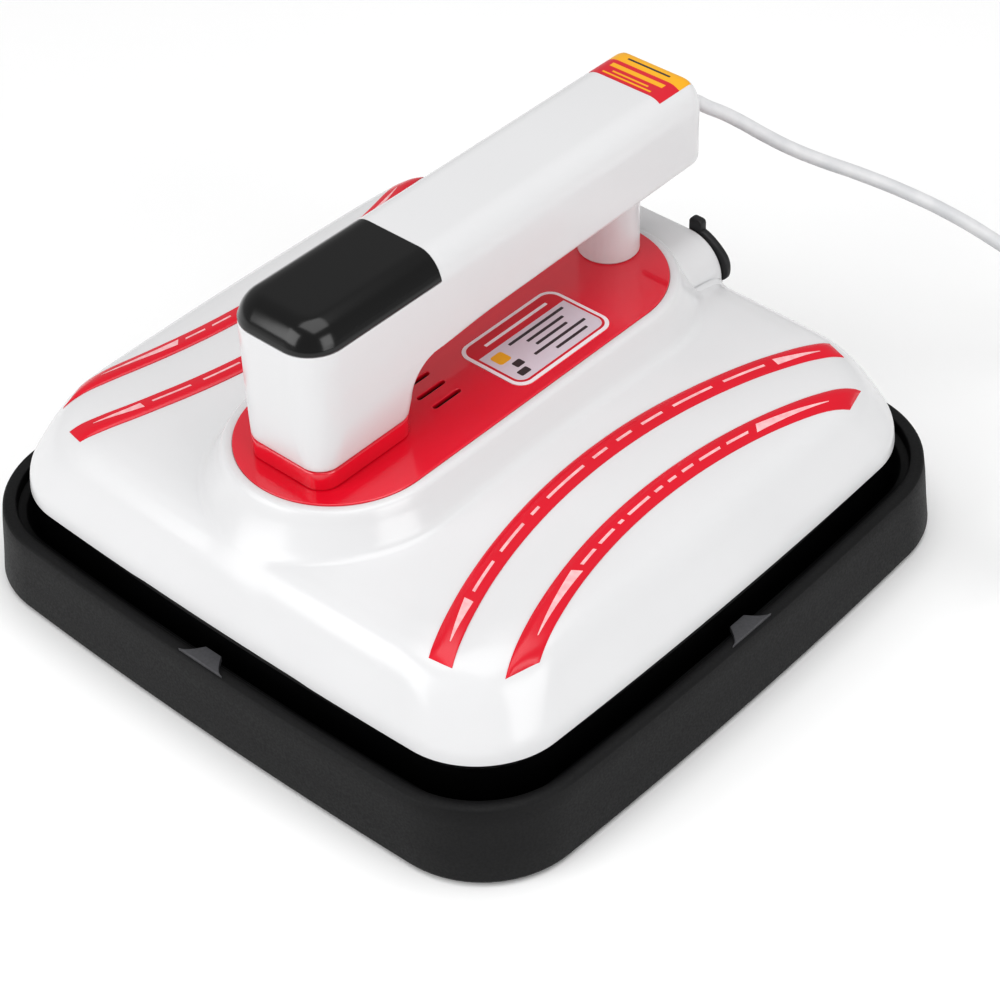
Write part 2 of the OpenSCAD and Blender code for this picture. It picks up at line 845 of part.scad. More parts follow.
module handle_nut() {
    difference() {
        cylinder(r = nut_r, h = nut_h, $fn = 6);
        translate([0, 0, -1]) cylinder(r = bolt_r, h = nut_h + 2);
    }
}

module handle_nuts() {
    color("#85888c") {
        translate([0, front_bolt_y, web_z + web_t]) handle_nut();
        translate([0, rear_post_y, beam_z + under_t]) handle_nut();
    }
}

// Cap over the display end; follows the beam's own outside
module display_cover() {
    color("#0d0d0f") difference() {
        intersection() {
            beam_solid(0);
            display_seat();
        }
        intersection() {
            beam_solid(display_wall);
            translate([-beam_w, -beam_front - 10, 0])
                cube([2 * beam_w, display_l + 10 - display_wall, beam_top + 20]);
        }
    }
}

module display_board() {
    color("#2d5c3a") difference() {
        translate([-board_half, -beam_front + 14, disp_z])
            cube([2 * board_half, display_l - 20, board_t]);
        translate([0, -beam_front + 20, disp_z - 1]) cylinder(r = 1.5, h = 4);
    }
}

module display_module() {
    color("#1a1a1c") translate([-module_size[0] / 2, -beam_front + 24, disp_z + board_t]) cube(module_size);
}

module touch_springs() {
    z0 = disp_z + board_t;
    color("#c9a86a") for (k = [-1 : 1])
        translate([k * spring_pitch, -beam_front + 49, z0])
            cylinder(r = spring_r, h = beam_top - display_wall - z0);
}

module buzzer() {
    color("#161616") translate([10, -beam_front + 34, disp_z - buzzer_h])
        cylinder(r = buzzer_r, h = buzzer_h);
}

// Flat lead from the display board down the front post
module display_ribbon() {
    z0 = panel_top - 12;
    color("#9a9aa2") translate([-ribbon_w / 2, front_bolt_y + ribbon_back, z0])
        cube([ribbon_w, ribbon_t, disp_z - z0]);
}

module caution_plate() {
    t = 0.3;
    color("#e8b01e") intersection() {
        translate([0, 0, t]) difference() {
            beam_solid(0);
            translate([0, 0, -t]) beam_solid(0);
        }
        translate([-17, beam_rear - 22, beam_top - 4]) cube([34, 18, 10]);
    }
}

// ---------- power switch, in the rear end face ----------

// Block of the rocker's outline, grown by gap, from y0 to y1
module rocker_block(gap, y0, y1) {
    translate([-rocker_w / 2 - gap, y0, rocker_z - rocker_l / 2 - gap])
        cube([rocker_w + 2 * gap, y1 - y0, rocker_l + 2 * gap]);
}

module rocker_opening() {
    rocker_block(rocker_gap + housing_rim, beam_rear - 6, beam_rear + 6);
}

module rocker_pin(r, l) {
    translate([0, beam_rear - rocker_in, rocker_z]) rotate([0, 90, 0]) cylinder(r = r, h = l, center = true);
}

module rocker_housing() {
    color("#1a1a1c") difference() {
        union() {
            rocker_block(rocker_gap + housing_rim, beam_rear - housing_d, beam_rear);
            rocker_block(rocker_gap + housing_rim + housing_lip, beam_rear, beam_rear + 1);
        }
        rocker_block(rocker_gap, beam_rear - 6, beam_rear + 6);
        rocker_pin(1.05, rocker_w + 2 * rocker_gap + 1.2);
    }
}

// Two faces that meet in a shallow V over the pivot pin
module power_rocker() {
    z = rocker_l / 2 - 0.6;
    color("#c01525") {
        translate([0, beam_rear - rocker_in, rocker_z]) rotate([0, -90, 0])
            linear_extrude(rocker_w, center = true)
                polygon([[-z, -rocker_side], [z, -rocker_side], [z, 1.6], [0, 2], [-z, 2.9]]);
        rocker_pin(1, rocker_w + 2 * rocker_gap + 1);
    }
}

// ---------- cord ----------

module exit_axis(y) {
    translate([0, beam_rear, exit_z]) rotate([-90 - exit_slope, 0, 0]) translate([0, 0, y]) children();
}

module strain_relief() {
    color("#dcdcde") exit_axis(0) {
        cylinder(r1 = relief_r, r2 = cord_d / 2 + 1, h = relief_l);
        translate([0, 0, -relief_in]) cylinder(r = relief_r, h = relief_in + e);
    }
}

module cord_clamp() {
    color("#3a3a3c") difference() {
        translate([-clamp_size[0] / 2, clamp_y, beam_z + under_t])
            cube([clamp_size[0], clamp_size[1], clamp_z + lead_r + 1.6 - beam_z - under_t]);
        translate([0, clamp_y - 1, clamp_z])
            rotate([-90, 0, 0]) cylinder(r = lead_r, h = clamp_size[1] + 2);
    }
}

// Inner lead: strain relief, clamp, down the rear post, terminal block
module mains_lead() {
    back = [0, beam_rear, exit_z] - relief_in * exit_dir;
    clamp_end = clamp_y + clamp_size[1];
    route = [back, back - 3 * exit_dir, [0, clamp_end + 3, clamp_z], [0, clamp_end, clamp_z],
        [0, clamp_y, clamp_z], [0, lead_y + 6, clamp_z - 2], [0, lead_y + 1.4, clamp_z - 7],
        [0, lead_y, clamp_z - 14], [0, lead_y, panel_top], [0, lead_y, lead_z + 8],
        [0, lead_y - 2.4, lead_z + 2], [0, lead_y - 7, lead_z], [0, block_y + lead_stop, lead_z]];
    color("#b8b8bc") tube(route, lead_r, 8, [1, 0, 0]);
}

// The cord's route from the strain relief to the coil
cord_route = [relief_end, relief_end + 6 * exit_dir, [2, 141, 126.5], [6, 147, 122], [11, 152, 117.5],
    [17, 158, 111.5], [25, 165, 105], [34, 173, 99], [46, 183, 92.5], [60, 194, 84.5], [75, 206, 74],
    [90, 218, 61], [104, 229, 47], [118, 240, 32], [132, 252, 18], [145, 264, 8.5], [158, 274.5, 4.2],
    [171, 281.6, 2.9], [183.7, 286.1, 2.9]];

function unit(v) = v / norm(v);

// Tube of radius r with s sides along points p, its rings set out from the direction ref
module tube(p, r, s, ref) {
    m = len(p);
    rings = [for (i = [0 : m - 1])
        let (t = unit(p[min(i + 1, m - 1)] - p[max(i - 1, 0)]),
             a = unit(cross(ref, t)), b = cross(t, a))
        [for (k = [0 : s - 1]) let (q = 360 * (k + 0.5) / s) p[i] + r * (cos(q) * a + sin(q) * b)]];
    loft([for (i = [0 : m - 1]) [for (k = [0 : s - 1]) rings[i][s - 1 - k]]]);
}

module power_cord() {
    color("#d6d6d6") tube(cord_route, cord_d / 2, 10, [0, 0, 1]);
}

// The turns as one ring, two cords wide each way of the middle and two layers tall
module cord_coil() {
    color("#d6d6d6") translate([coil_at[0], coil_at[1], 0]) rotate_extrude()
        translate([coil_r - coil_wide, 0]) square([2 * coil_wide, coil_tall]);
}

module coil_tie() {
    color("#1c1c1e") translate([coil_at[0], coil_at[1], 0]) rotate([0, 0, 200]) difference() {
        translate([coil_r - coil_wide - 1, -tie_w / 2, 0]) cube([2 * coil_wide + 2, tie_w, coil_tall + 1]);
        rotate_extrude() translate([coil_r - coil_wide, -1]) square([2 * coil_wide, coil_tall + 1]);
    }
}

// The cord's route from the coil to the plug
tail_route = [[229, 229.4, 7.7], [224.5, 220, 8.4], [219.5, 211, 7.6], [215, 202, 4.6], [211.5, 193, 2.9],
    [208.5, 184, 4.6], [207, 175, 7.6], [206, 166, 11.4], [205.5, 157, 15.2], [205.5, 149, 18],
    [205.5, 143, 18]];
tail_end = tail_route[len(tail_route) - 1];

module cord_tail() {
    color("#d6d6d6") tube(tail_route, cord_d / 2, 10, [0, 0, 1]);
}

module mains_plug() {
    color("#d2d2d4") translate(tail_end) rotate([90, 0, 0]) {
        cylinder(r1 = cord_d / 2 + 1, r2 = 7, h = plug_neck);
        translate([0, 0, plug_neck - e]) cylinder(r1 = 12, r2 = plug_r, h = plug_cone);
        translate([0, 0, plug_neck + plug_cone - 2 * e]) cylinder(r = plug_r, h = plug_body - plug_cone);
    }
}

module plug_pins() {
    color("#b9bbbe") for (x = [-1, 1])
        translate(tail_end + [x * pin_x, -(plug_neck + plug_body - 2 * e), 0])
            rotate([90, 0, 0]) cylinder(r = pin_r, h = pin_l);
}

base_tray();
locating_tabs();
tray_heat_pad();
tray_feet();
heating_plate();
heating_element_outer();
heating_element_inner();
insulation_blanket();
heat_shield();
plate_standoffs();
plate_screws();
thermal_cutout();
temperature_probe();
lower_housing();
shield_screws();
top_cover();
cover_screws();
stripe_right_inner();
stripe_right_outer();
stripe_left_inner();
stripe_left_outer();
boss_panel();
spec_label();
rear_rest();
terminal_block();
power_board();
power_relay();
mains_fuse();
handle_shell();
handle_underside();
front_plinth();
rear_post();
handle_bolts();
handle_nuts();
display_cover();
display_board();
display_module();
touch_springs();
buzzer();
display_ribbon();
caution_plate();
rocker_housing();
power_rocker();
mains_lead();
cord_clamp();
strain_relief();
power_cord();
cord_coil();
coil_tie();
cord_tail();
mains_plug();
plug_pins();
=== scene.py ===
import math

import bmesh
import bpy
import numpy as np
from mathutils import Matrix, Vector
from mathutils.bvhtree import BVHTree


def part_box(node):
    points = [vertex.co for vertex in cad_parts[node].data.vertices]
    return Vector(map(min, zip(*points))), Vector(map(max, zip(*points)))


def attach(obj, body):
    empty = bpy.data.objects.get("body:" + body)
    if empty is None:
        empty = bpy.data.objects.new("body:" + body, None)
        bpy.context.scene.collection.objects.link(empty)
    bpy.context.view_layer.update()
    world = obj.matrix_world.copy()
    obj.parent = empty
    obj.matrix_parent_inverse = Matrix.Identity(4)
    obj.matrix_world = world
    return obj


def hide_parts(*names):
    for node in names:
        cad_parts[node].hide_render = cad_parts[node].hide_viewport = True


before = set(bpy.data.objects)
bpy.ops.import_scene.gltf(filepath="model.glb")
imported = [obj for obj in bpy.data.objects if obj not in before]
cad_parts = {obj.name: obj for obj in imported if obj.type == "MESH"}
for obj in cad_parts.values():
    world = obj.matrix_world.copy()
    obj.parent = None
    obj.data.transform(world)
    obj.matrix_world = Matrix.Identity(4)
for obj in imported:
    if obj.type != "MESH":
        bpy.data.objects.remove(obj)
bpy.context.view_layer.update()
scene = bpy.context.scene
mm = 0.001
print("frame loaded")


# Small tools

def toLinear(code):  # sRGB hex to linear colour
    parts = [int(code[i:i + 2], 16) / 255 for i in (1, 3, 5)]
    return [c / 12.92 if c <= 0.04045 else ((c + 0.055) / 1.055) ** 2.4 for c in parts] + [1.0]


def addNode(tree, kind, inputs=None, **settings):  # a node with its settings and links
    node = tree.nodes.new(kind)
    for name, value in settings.items():
        setattr(node, name, value)
    for socket, value in (inputs or {}).items():
        if isinstance(value, bpy.types.NodeSocket):
            tree.links.new(value, node.inputs[socket])
        else:
            node.inputs[socket].default_value = value
    return node


def newMaterial(name, colour, **values):  # values are the shader's own sockets, with _ for a space
    material = bpy.data.materials.new(name)
    material.use_nodes = True
    material.diffuse_color = toLinear(colour)
    tree = material.node_tree
    shader = tree.nodes["Principled BSDF"]
    shader.inputs["Base Color"].default_value = toLinear(colour)
    for socket, value in values.items():
        shader.inputs[socket.replace("_", " ")].default_value = value
    return material, tree, shader


def noiseAt(tree, sizeMm, detail=3.0, stretch=(1, 1, 1)):  # noise whose grains are about sizeMm wide
    place = addNode(tree, "ShaderNodeTexCoord")
    spread = addNode(tree, "ShaderNodeMapping", {"Vector": place.outputs["Object"], "Scale": stretch})
    return addNode(tree, "ShaderNodeTexNoise",
                   {"Vector": spread.outputs["Vector"], "Scale": 1 / (sizeMm * mm), "Detail": detail})


def addTint(tree, shader, source, first, second):  # colour that wanders between two near shades
    ramp = addNode(tree, "ShaderNodeValToRGB", {"Fac": source})
    ramp.color_ramp.interpolation = "EASE"
    for element, place, shade in zip(ramp.color_ramp.elements, (0.25, 0.75), (first, second)):
        element.position = place
        element.color = toLinear(shade)
    tree.links.new(ramp.outputs["Color"], shader.inputs["Base Color"])


def addSheen(tree, shader, source, low, high):  # roughness that wanders between low and high
    span = addNode(tree, "ShaderNodeMapRange", {"Value": source, "From Min": 0.2, "From Max": 0.8,
                                                "To Min": low, "To Max": high}, interpolation_type="SMOOTHSTEP")
    tree.links.new(span.outputs["Result"], shader.inputs["Roughness"])


def addRelief(tree, shader, source, depthMm, strength):
    bump = addNode(tree, "ShaderNodeBump", {"Height": source, "Distance": depthMm * mm, "Strength": strength})
    tree.links.new(bump.outputs["Normal"], shader.inputs["Normal"])


def coated(name, colour, grain, tint=(), sheen=(), relief=(), **sockets):
    # tint is two shades, sheen two roughnesses, relief a depth in mm and a strength, all led by the grain;
    # a grain is (mm, detail, stretch), and any of the three may end with one of its own
    material, tree, shader = newMaterial(name, colour, **sockets)
    for add, values in ((addTint, tint), (addSheen, sheen), (addRelief, relief)):
        if values:
            add(tree, shader, noiseAt(tree, *(values[2:] or grain)).outputs["Fac"], *values[:2])
    return material


def addObject(name, data):
    made = bpy.data.objects.new(name, data)
    scene.collection.objects.link(made)
    return made


def frozen(piece):  # mesh of a piece as its curve or its modifiers make it
    bpy.context.view_layer.update()
    mesh = bpy.data.meshes.new_from_object(piece.evaluated_get(bpy.context.evaluated_depsgraph_get()))
    mesh.shade_smooth()
    mesh.set_sharp_from_angle(angle=math.radians(50))
    return mesh


def meshFrom(name, points, faces, sharp=35):
    mesh = bpy.data.meshes.new(name)
    mesh.from_pydata([tuple(p) for p in points], [], faces)
    shape = bmesh.new()
    shape.from_mesh(mesh)
    bmesh.ops.recalc_face_normals(shape, faces=shape.faces)
    shape.to_mesh(mesh)
    shape.free()
    mesh.shade_smooth()
    mesh.set_sharp_from_angle(angle=math.radians(sharp))
    return addObject(name, mesh)


def loftMesh(name, rings, loop=False, sharp=35):  # skin over rings of equal count, capped unless it is a loop
    count = len(rings[0])
    points = [p for ring in rings for p in ring]
    faces = []
    last = len(rings) if loop else len(rings) - 1
    for k in range(last):
        a, b = k * count, ((k + 1) % len(rings)) * count
        faces += [(a + i, a + (i + 1) % count, b + (i + 1) % count, b + i) for i in range(count)]
    if not loop:
        faces.append(tuple(reversed(range(count))))
        faces.append(tuple(range((len(rings) - 1) * count, len(rings) * count)))
    return meshFrom(name, np.array(points) * mm, faces, sharp)


def atHeight(outline, z):
    return [(x, y, z) for x, y in outline]


def mirrored(side):  # right half of a section, from its top down, closed with its left half
    return side + [(-x, z) for x, z in reversed(side)]


def archSide(half, shoulder, top):  # flat top and round shoulder, right half
    return [(half - shoulder + shoulder * math.cos(a), top - shoulder + shoulder * math.sin(a))
            for a in np.linspace(math.pi / 2, 0, 14)]


def easeBetween(t):  # 0 to 1 with soft ends
    t = min(1.0, max(0.0, t))
    return t * t * (3 - 2 * t)


def roundedBox(half, front, rear, frontRadius, rearRadius, steps=12):  # plan outline, rounded at each corner
    outline = []
    corners = [(-half + frontRadius, front + frontRadius, frontRadius, 180),
               (half - frontRadius, front + frontRadius, frontRadius, 270),
               (half - rearRadius, rear - rearRadius, rearRadius, 0),
               (-half + rearRadius, rear - rearRadius, rearRadius, 90)]
    for x, y, radius, start in corners:
        for k in range(steps + 1):
            a = math.radians(start + 90 * k / steps)
            outline.append((x + radius * math.cos(a), y + radius * math.sin(a)))
    return outline


def bowedSquare(half, radius, bow, steps=20):  # square with round corners and sides that bow out a little
    reach = half - bow - radius
    for _ in range(6):
        tilt = math.atan(2 * bow / reach)
        reach = half - bow - radius * (math.cos(tilt) - math.sin(tilt))
    centre = half - bow - radius * math.cos(tilt)
    side = [(half - bow * (y / reach) ** 2, y) for y in np.linspace(-reach, reach, steps, endpoint=False)]
    angles = np.linspace(tilt, math.pi / 2 - tilt, steps, endpoint=False)
    side += [(centre + radius * math.cos(a), centre + radius * math.sin(a)) for a in angles]
    outline = []
    for _ in range(4):
        outline += side
        side = [(-y, x) for x, y in side]
    return outline


def stadiumOutline(radius, half, steps=24):  # long way along Y
    outline = []
    for start, y in ((180, -(half - radius)), (0, half - radius)):
        for k in range(steps + 1):
            a = math.radians(start + 180 * k / steps)
            outline.append((radius * math.cos(a), y + radius * math.sin(a)))
    return outline


def flatPart(name, outlines, z, thick, edge=0.0):  # plate cut to outlines (the later ones are holes)
    curve = bpy.data.curves.new(name, "CURVE")
    curve.dimensions = "2D"
    curve.fill_mode = "BOTH"
    curve.extrude = (thick / 2 - edge) * mm
    curve.bevel_depth = edge * mm
    curve.bevel_resolution = 2
    curve.offset = -edge * mm
    for outline in outlines:
        spline = curve.splines.new("POLY")
        spline.points.add(len(outline) - 1)
        for point, (x, y) in zip(spline.points, outline):
            point.co = (x * mm, y * mm, 0, 1)
        spline.use_cyclic_u = True
    maker = addObject(name + "Maker", curve)
    mesh = frozen(maker)
    bpy.data.objects.remove(maker)
    mesh.transform(Matrix.Translation((0, 0, (z + thick / 2) * mm)))
    return addObject(name, mesh)


def latheMesh(name, profile, axis=None, sides=64):  # (radius, height) turned about Z, then placed by axis
    rings = [[(r * math.cos(2 * math.pi * k / sides), r * math.sin(2 * math.pi * k / sides), z)
              for k in range(sides)] for r, z in profile]
    piece = loftMesh(name, rings)
    if axis is not None:
        piece.data.transform(axis)
    return piece


def joinMeshes(name, pieces):
    with bpy.context.temp_override(active_object=pieces[0], selected_editable_objects=pieces):
        bpy.ops.object.join()
    pieces[0].name = name
    pieces[0].data.name = name
    return pieces[0]


def place(piece, body, material, slot, *nodes):  # finish, body and what it stands for, in one line
    piece.data.materials.clear()
    piece.data.materials.append(material)
    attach(piece, body)
    if nodes:
        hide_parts(*nodes)
    return piece


def low(node):
    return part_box(node)[0] / mm


def high(node):
    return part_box(node)[1] / mm


# Sizes shared by the pieces, from the frame

pressHalf = high("top_cover").x
trayTop = high("base_tray").z
edgeZ = trayTop + 9
panelTop = high("boss_panel").z
beamLow = low("handle_underside").z
beamTop = high("handle_shell").z
beamFront = low("display_cover").y
beamRear = high("handle_shell").y
beamHalf = high("handle_shell").x

# Camera

cameraValues = {"azimuth": 43.285, "elevation": 40.89, "distance": 0.98755, "lens": 95.4,
                "aim": (0, 0, 0.060), "sideways": 0.01308, "upwards": -0.03196, "roll": -0.0379}


def makeCamera(v):
    az, el = math.radians(v["azimuth"]), math.radians(v["elevation"])
    back = Vector((math.sin(az) * math.cos(el), -math.cos(az) * math.cos(el), math.sin(el)))
    right = Vector((math.cos(az), math.sin(az), 0))
    up = back.cross(right)
    target = Vector(v["aim"]) + right * v["sideways"] + up * v["upwards"]
    across = right * math.cos(v["roll"]) + up * math.sin(v["roll"])
    above = up * math.cos(v["roll"]) - right * math.sin(v["roll"])
    data = bpy.data.cameras.new("camera")
    data.sensor_width = 36
    data.lens = v["lens"]
    data.clip_end = 20
    camera = addObject("camera", data)
    turn = Matrix((across, above, back)).transposed()
    camera.matrix_world = Matrix.Translation(target + back * v["distance"]) @ turn.to_4x4()
    scene.camera = camera


makeCamera(cameraValues)

# Mains cord, its coil, tie and plug

cordValues = {"diameter": 5.6, "exitUp": 23, "droop": 35, "straight": 6, "coilCentre": (196, 247.6),
              "coilRadii": (40.4, 34.8, 29.2, 23.6, 26.4, 32.0, 37.6), "layerStep": 4.85, "layerTurn": 4,
              "moveOver": 0.25, "arriveAt": 107.7, "leaveAt": -29.0, "turns": 6, "perTurn": 24, "clear": 0.05}

# Route from the strain relief to the coil, and from the coil to the plug
exitRoute = [(2, 141, 126.5), (6, 147, 122), (11, 152, 117.5), (17, 158, 111.5), (25, 165, 105), (34, 173, 99),
             (46, 183, 92.5), (60, 194, 84.5), (75, 206, 74), (90, 218, 61), (104, 229, 47), (118, 240, 32),
             (132, 252, 18), (145, 264, 8.5), (158, 274.5, 4.2), (171, 281.6, 2.9)]
tailRoute = [(224.5, 220, 8.4), (219.5, 211, 7.6), (215, 202, 4.6), (211.5, 193, 2.9), (208.5, 184, 4.6),
             (207, 175, 7.6), (206, 166, 11.4), (205.5, 157, 15.2), (205.5, 149, 18), (205.5, 143, 18)]


def coilPoints(v):  # spirals in on the bottom layer, climbs, and spirals out on the second
    total = v["turns"] * 360 + v["arriveAt"] - v["leaveAt"]
    radii, points = v["coilRadii"], []
    for k in range(int(total / 360 * v["perTurn"]) + 1):
        turn = k / v["perTurn"]
        whole = int(turn)
        ease = easeBetween((turn - whole - 1 + v["moveOver"]) / v["moveOver"])  # moves over at each turn's end
        radius = radii[whole] + (radii[min(whole + 1, len(radii) - 1)] - radii[whole]) * ease
        layer = (whole >= v["layerTurn"]) + (ease if whole == v["layerTurn"] - 1 else 0)
        a = math.radians(v["arriveAt"] - 360 * turn)
        points.append((v["coilCentre"][0] + radius * math.cos(a), v["coilCentre"][1] + radius * math.sin(a),
                       v["diameter"] / 2 + v["clear"] + layer * v["layerStep"]))
    return points


def curveThrough(name, points, radius):
    curve = bpy.data.curves.new(name, "CURVE")
    curve.dimensions = "3D"
    curve.bevel_depth = radius * mm
    curve.bevel_resolution = 5
    curve.resolution_u = 4
    curve.use_fill_caps = True
    spline = curve.splines.new("BEZIER")
    spline.bezier_points.add(len(points) - 1)
    for point, co in zip(spline.bezier_points, points):
        point.co = Vector(co) * mm
        point.handle_left_type = point.handle_right_type = "AUTO"
    return addObject(name, curve)


def cordPvc(name, colour):  # extruded soft PVC: smooth, faintly satin, a little uneven along its length
    return coated(name, colour, (9,), ("#dcdcdd", "#cfd0d2"), (0.32, 0.45), (0.02, 0.5, 1.2), IOR=1.53)


pvc = cordPvc("extrudedPvc", "#d6d7d9")
plugPvc = cordPvc("mouldedPvc", "#d0d1d3")

reliefValues = {"length": 20, "root": 5, "tip": 3.8, "ribs": 5, "sunk": 5, "groove": 0.75}
droop = math.radians(cordValues["droop"])
exitDirection = Vector((0, math.cos(droop), -math.sin(droop)))
reliefStart = Vector((0, beamRear, beamLow + cordValues["exitUp"]))
reliefEnd = reliefStart + exitDirection * reliefValues["length"]
fullRoute = [reliefEnd, reliefEnd + exitDirection * cordValues["straight"]]
fullRoute += exitRoute + coilPoints(cordValues) + tailRoute
cordPiece = curveThrough("mainsCord", fullRoute, cordValues["diameter"] / 2)
place(cordPiece, "press", pvc, "cord_pvc", "power_cord", "cord_coil", "cord_tail")

tieValues = {"out": 32, "half": 11.8, "tall": 10.9, "thick": 0.9, "wide": 5, "turn": 200, "corner": 3, "clear": 0.1}


def coilTie(v):  # soft strap over the turns, its lower ends tucked under them
    half, tall, corner, edge = v["half"], v["tall"], v["corner"], 0.3
    def section(grow):
        right = [(0, tall + grow), (half - corner, tall + grow), (half + grow - 0.9, tall - 0.9 + grow),
                 (half + grow, tall - corner), (half + grow, 4), (half + grow, v["clear"])]
        return [(v["out"] + x, z) for x, z in [(-x, z) for x, z in right[:0:-1]] + right]
    outline = section(v["thick"]) + section(0)[::-1]
    cos, sin = math.cos(math.radians(v["turn"])), math.sin(math.radians(v["turn"]))
    centre, reach = cordValues["coilCentre"], v["wide"] / 2
    rings = [[(centre[0] + r * cos - along * sin, centre[1] + r * sin + along * cos, z) for r, z in outline]
             for along in (-reach, edge - reach, reach - edge, reach)]
    return loftMesh("coilTie", rings)


# moulded rubber: dull black, slightly rough skin
rubber = coated("mouldedRubber", "#17171a", (0.8,), ("#1b1b1e", "#131315", 12), (0.42, 0.58), (0.03, 0.5), IOR=1.52)
tie = place(coilTie(tieValues), "press", rubber, "black_rubber", "coil_tie")

plugValues = {"neck": 14, "ribs": 5, "ribPitch": 2.6, "ribStep": 0.62, "root": 3.8, "body": 26, "radius": 18,
              "pinRadius": 2.4, "pinLength": 19, "pinApart": 9.5, "pinSunk": 0.5}
plugAxis = Matrix.Translation(Vector(tailRoute[-1]) * mm) @ Matrix.Rotation(math.radians(90), 4, "X")


def mainsPlug(v):  # two-pin round plug with a ribbed neck and a finger groove
    profile = [(0.2, 0), (v["root"], 0)]
    for k in range(v["ribs"]):
        z, r = 0.6 + k * v["ribPitch"], v["root"] + 0.1 + k * v["ribStep"]
        profile += [(r, z), (r, z + 1.5), (r - 0.5, z + 1.7), (r - 0.5, z + 2.4)]
    neck, end, full = v["neck"], v["neck"] + v["body"], v["radius"]
    profile += [(7, neck), (10.6, neck + 0.3), (12, neck + 1.4), (full - 3.5, neck + 7), (full - 0.8, neck + 11),
                (full, neck + 13.5), (full, neck + 17), (full - 0.9, neck + 18), (full - 0.9, neck + 20),
                (full, neck + 21), (full, end - 1), (full - 0.8, end), (0.2, end)]
    return latheMesh("mainsPlug", profile, plugAxis)


def plugPins(v):  # round pins with rounded tips
    start, r = v["neck"] + v["body"] - v["pinSunk"], v["pinRadius"]
    end = start + v["pinSunk"] + v["pinLength"]
    profile = [(0.1, start), (r, start), (r, end - 2.2), (r - 0.4, end - 0.9), (r - 1.4, end - 0.1), (0.1, end)]
    return joinMeshes("plugPins", [latheMesh("plugPin", profile,
                                             plugAxis @ Matrix.Translation((side * v["pinApart"] * mm, 0, 0)), 32)
                                   for side in (-1, 1)])


# turned pin with a bright nickel skin, fine rings round it
nickelledBrass = coated("nickelledBrass", "#c9c6be", (0.6, 3.0, (0.2, 4, 0.2)), sheen=(0.18, 0.26),
                        relief=(0.01, 0.4), Metallic=1.0)


plug = place(mainsPlug(plugValues), "press", plugPvc, "plug_pvc", "mains_plug")
pins = place(plugPins(plugValues), "press", nickelledBrass, "pin_metal", "plug_pins")


def strainRelief(v):  # tapered sleeve with grooves that let it bend
    root, tip, length, groove = v["root"], v["tip"], v["length"], v["groove"]
    profile = [(0.2, -v["sunk"]), (root - 0.2, -v["sunk"]), (root, 0.4)]
    step = (length - 3) / v["ribs"]
    for k in range(v["ribs"]):
        z = 1.5 + k * step
        r = root + (tip - root) * z / length
        profile += [(r, z), (r - 0.1, z + step - 1.5), (r - groove, z + step - 1.2), (r - groove, z + step - 0.3)]
    profile += [(tip, length - 1.4), (tip - 0.1, length - 0.3), (tip - 0.5, length), (0.2, length)]
    turn = Matrix.Rotation(math.radians(-90) - droop, 4, "X")
    return latheMesh("strainRelief", profile, Matrix.Translation(reliefStart * mm) @ turn, 40)


relief = place(strainRelief(reliefValues), "press", plugPvc, "plug_pvc", "strain_relief")

print("cord made")

# Finishes of the press and the tray


def glossAbs(name, light, dark, low, high):  # injection-moulded ABS: even gloss with a faint orange-peel ripple
    return coated(name, light, (55, 1), (light, dark), (low, high), (0.012, 0.35, 7), IOR=1.54)


def printedFilm(name, colour, second):  # polyester label film: flat print under a thin satin face
    return coated(name, colour, (25, 1), (colour, second), (0.29, 0.38), IOR=1.57)


def metal(name, colour, second, sizeMm, low, high):  # bare or plated metal: a soft shine, clouded by handling
    return coated(name, colour, (sizeMm, 4), (colour, second), (low, high), (0.02, 0.5), Metallic=1.0)


def dullPart(name, colour, second, sizeMm, low, high, depth=0.03, ior=1.5, **sockets):  # left unpolished
    return coated(name, colour, (sizeMm, 4), (colour, second), (low, high), (depth, 0.6), IOR=ior, **sockets)


whiteAbs = glossAbs("glossWhiteAbs", "#dbdbdc", "#d9d9da", 0.18, 0.26)
blackAbs = glossAbs("glossBlackAbs", "#0b0b0c", "#060607", 0.12, 0.2)
displayAcrylic = glossAbs("smokedAcrylic", "#030303", "#020202", 0.16, 0.22)
# nylon moulded in a spark-eroded tool: matt, with a fine sandy skin whose pits swallow part of the
# shine, drawn a little coarse to show
tray = coated("sparkedNylon", "#101011", (0.9, 4), ("#111112", "#0e0e0f", 30, 5), (0.5, 0.66), (0.06, 0.45),
              IOR=1.53, Specular_IOR_Level=0.27)
# clear acrylic sheet printed red behind: deep colour under a mirror-flat face
panelRed = coated("backPrintedAcrylic", "#dc0e2e", (60,), ("#e01030", "#d80d2b"), relief=(0.01, 0.25, 25), IOR=1.49,
                  Roughness=0.2, Coat_Weight=1.0, Coat_Roughness=0.03, Coat_IOR=1.49)
# soft moulded red inlay: bright, slightly waxy
inlayRed = coated("mouldedRedInlay", "#d30f2a", (35, 1), ("#d8112d", "#d20e29"), (0.18, 0.26), (0.008, 0.3, 3),
                  IOR=1.52)
# screen-printed ink: slightly pink where the red shows through, dull beside the plastic
ink = coated("paleInk", "#eeb4b6", (3,), ("#f3c3c4", "#e8a6aa"), (0.35, 0.45), IOR=1.5)
print("finishes made")

# Tray

trayValues = {"foot": 140, "footRadius": 40, "bow": 2.2, "rim": 138.6, "rimRadius": 44, "rimWidth": 5.4,
              "well": 129.1, "wellRadius": 33, "wellStep": 5, "floor": 5, "underside": 1.5}


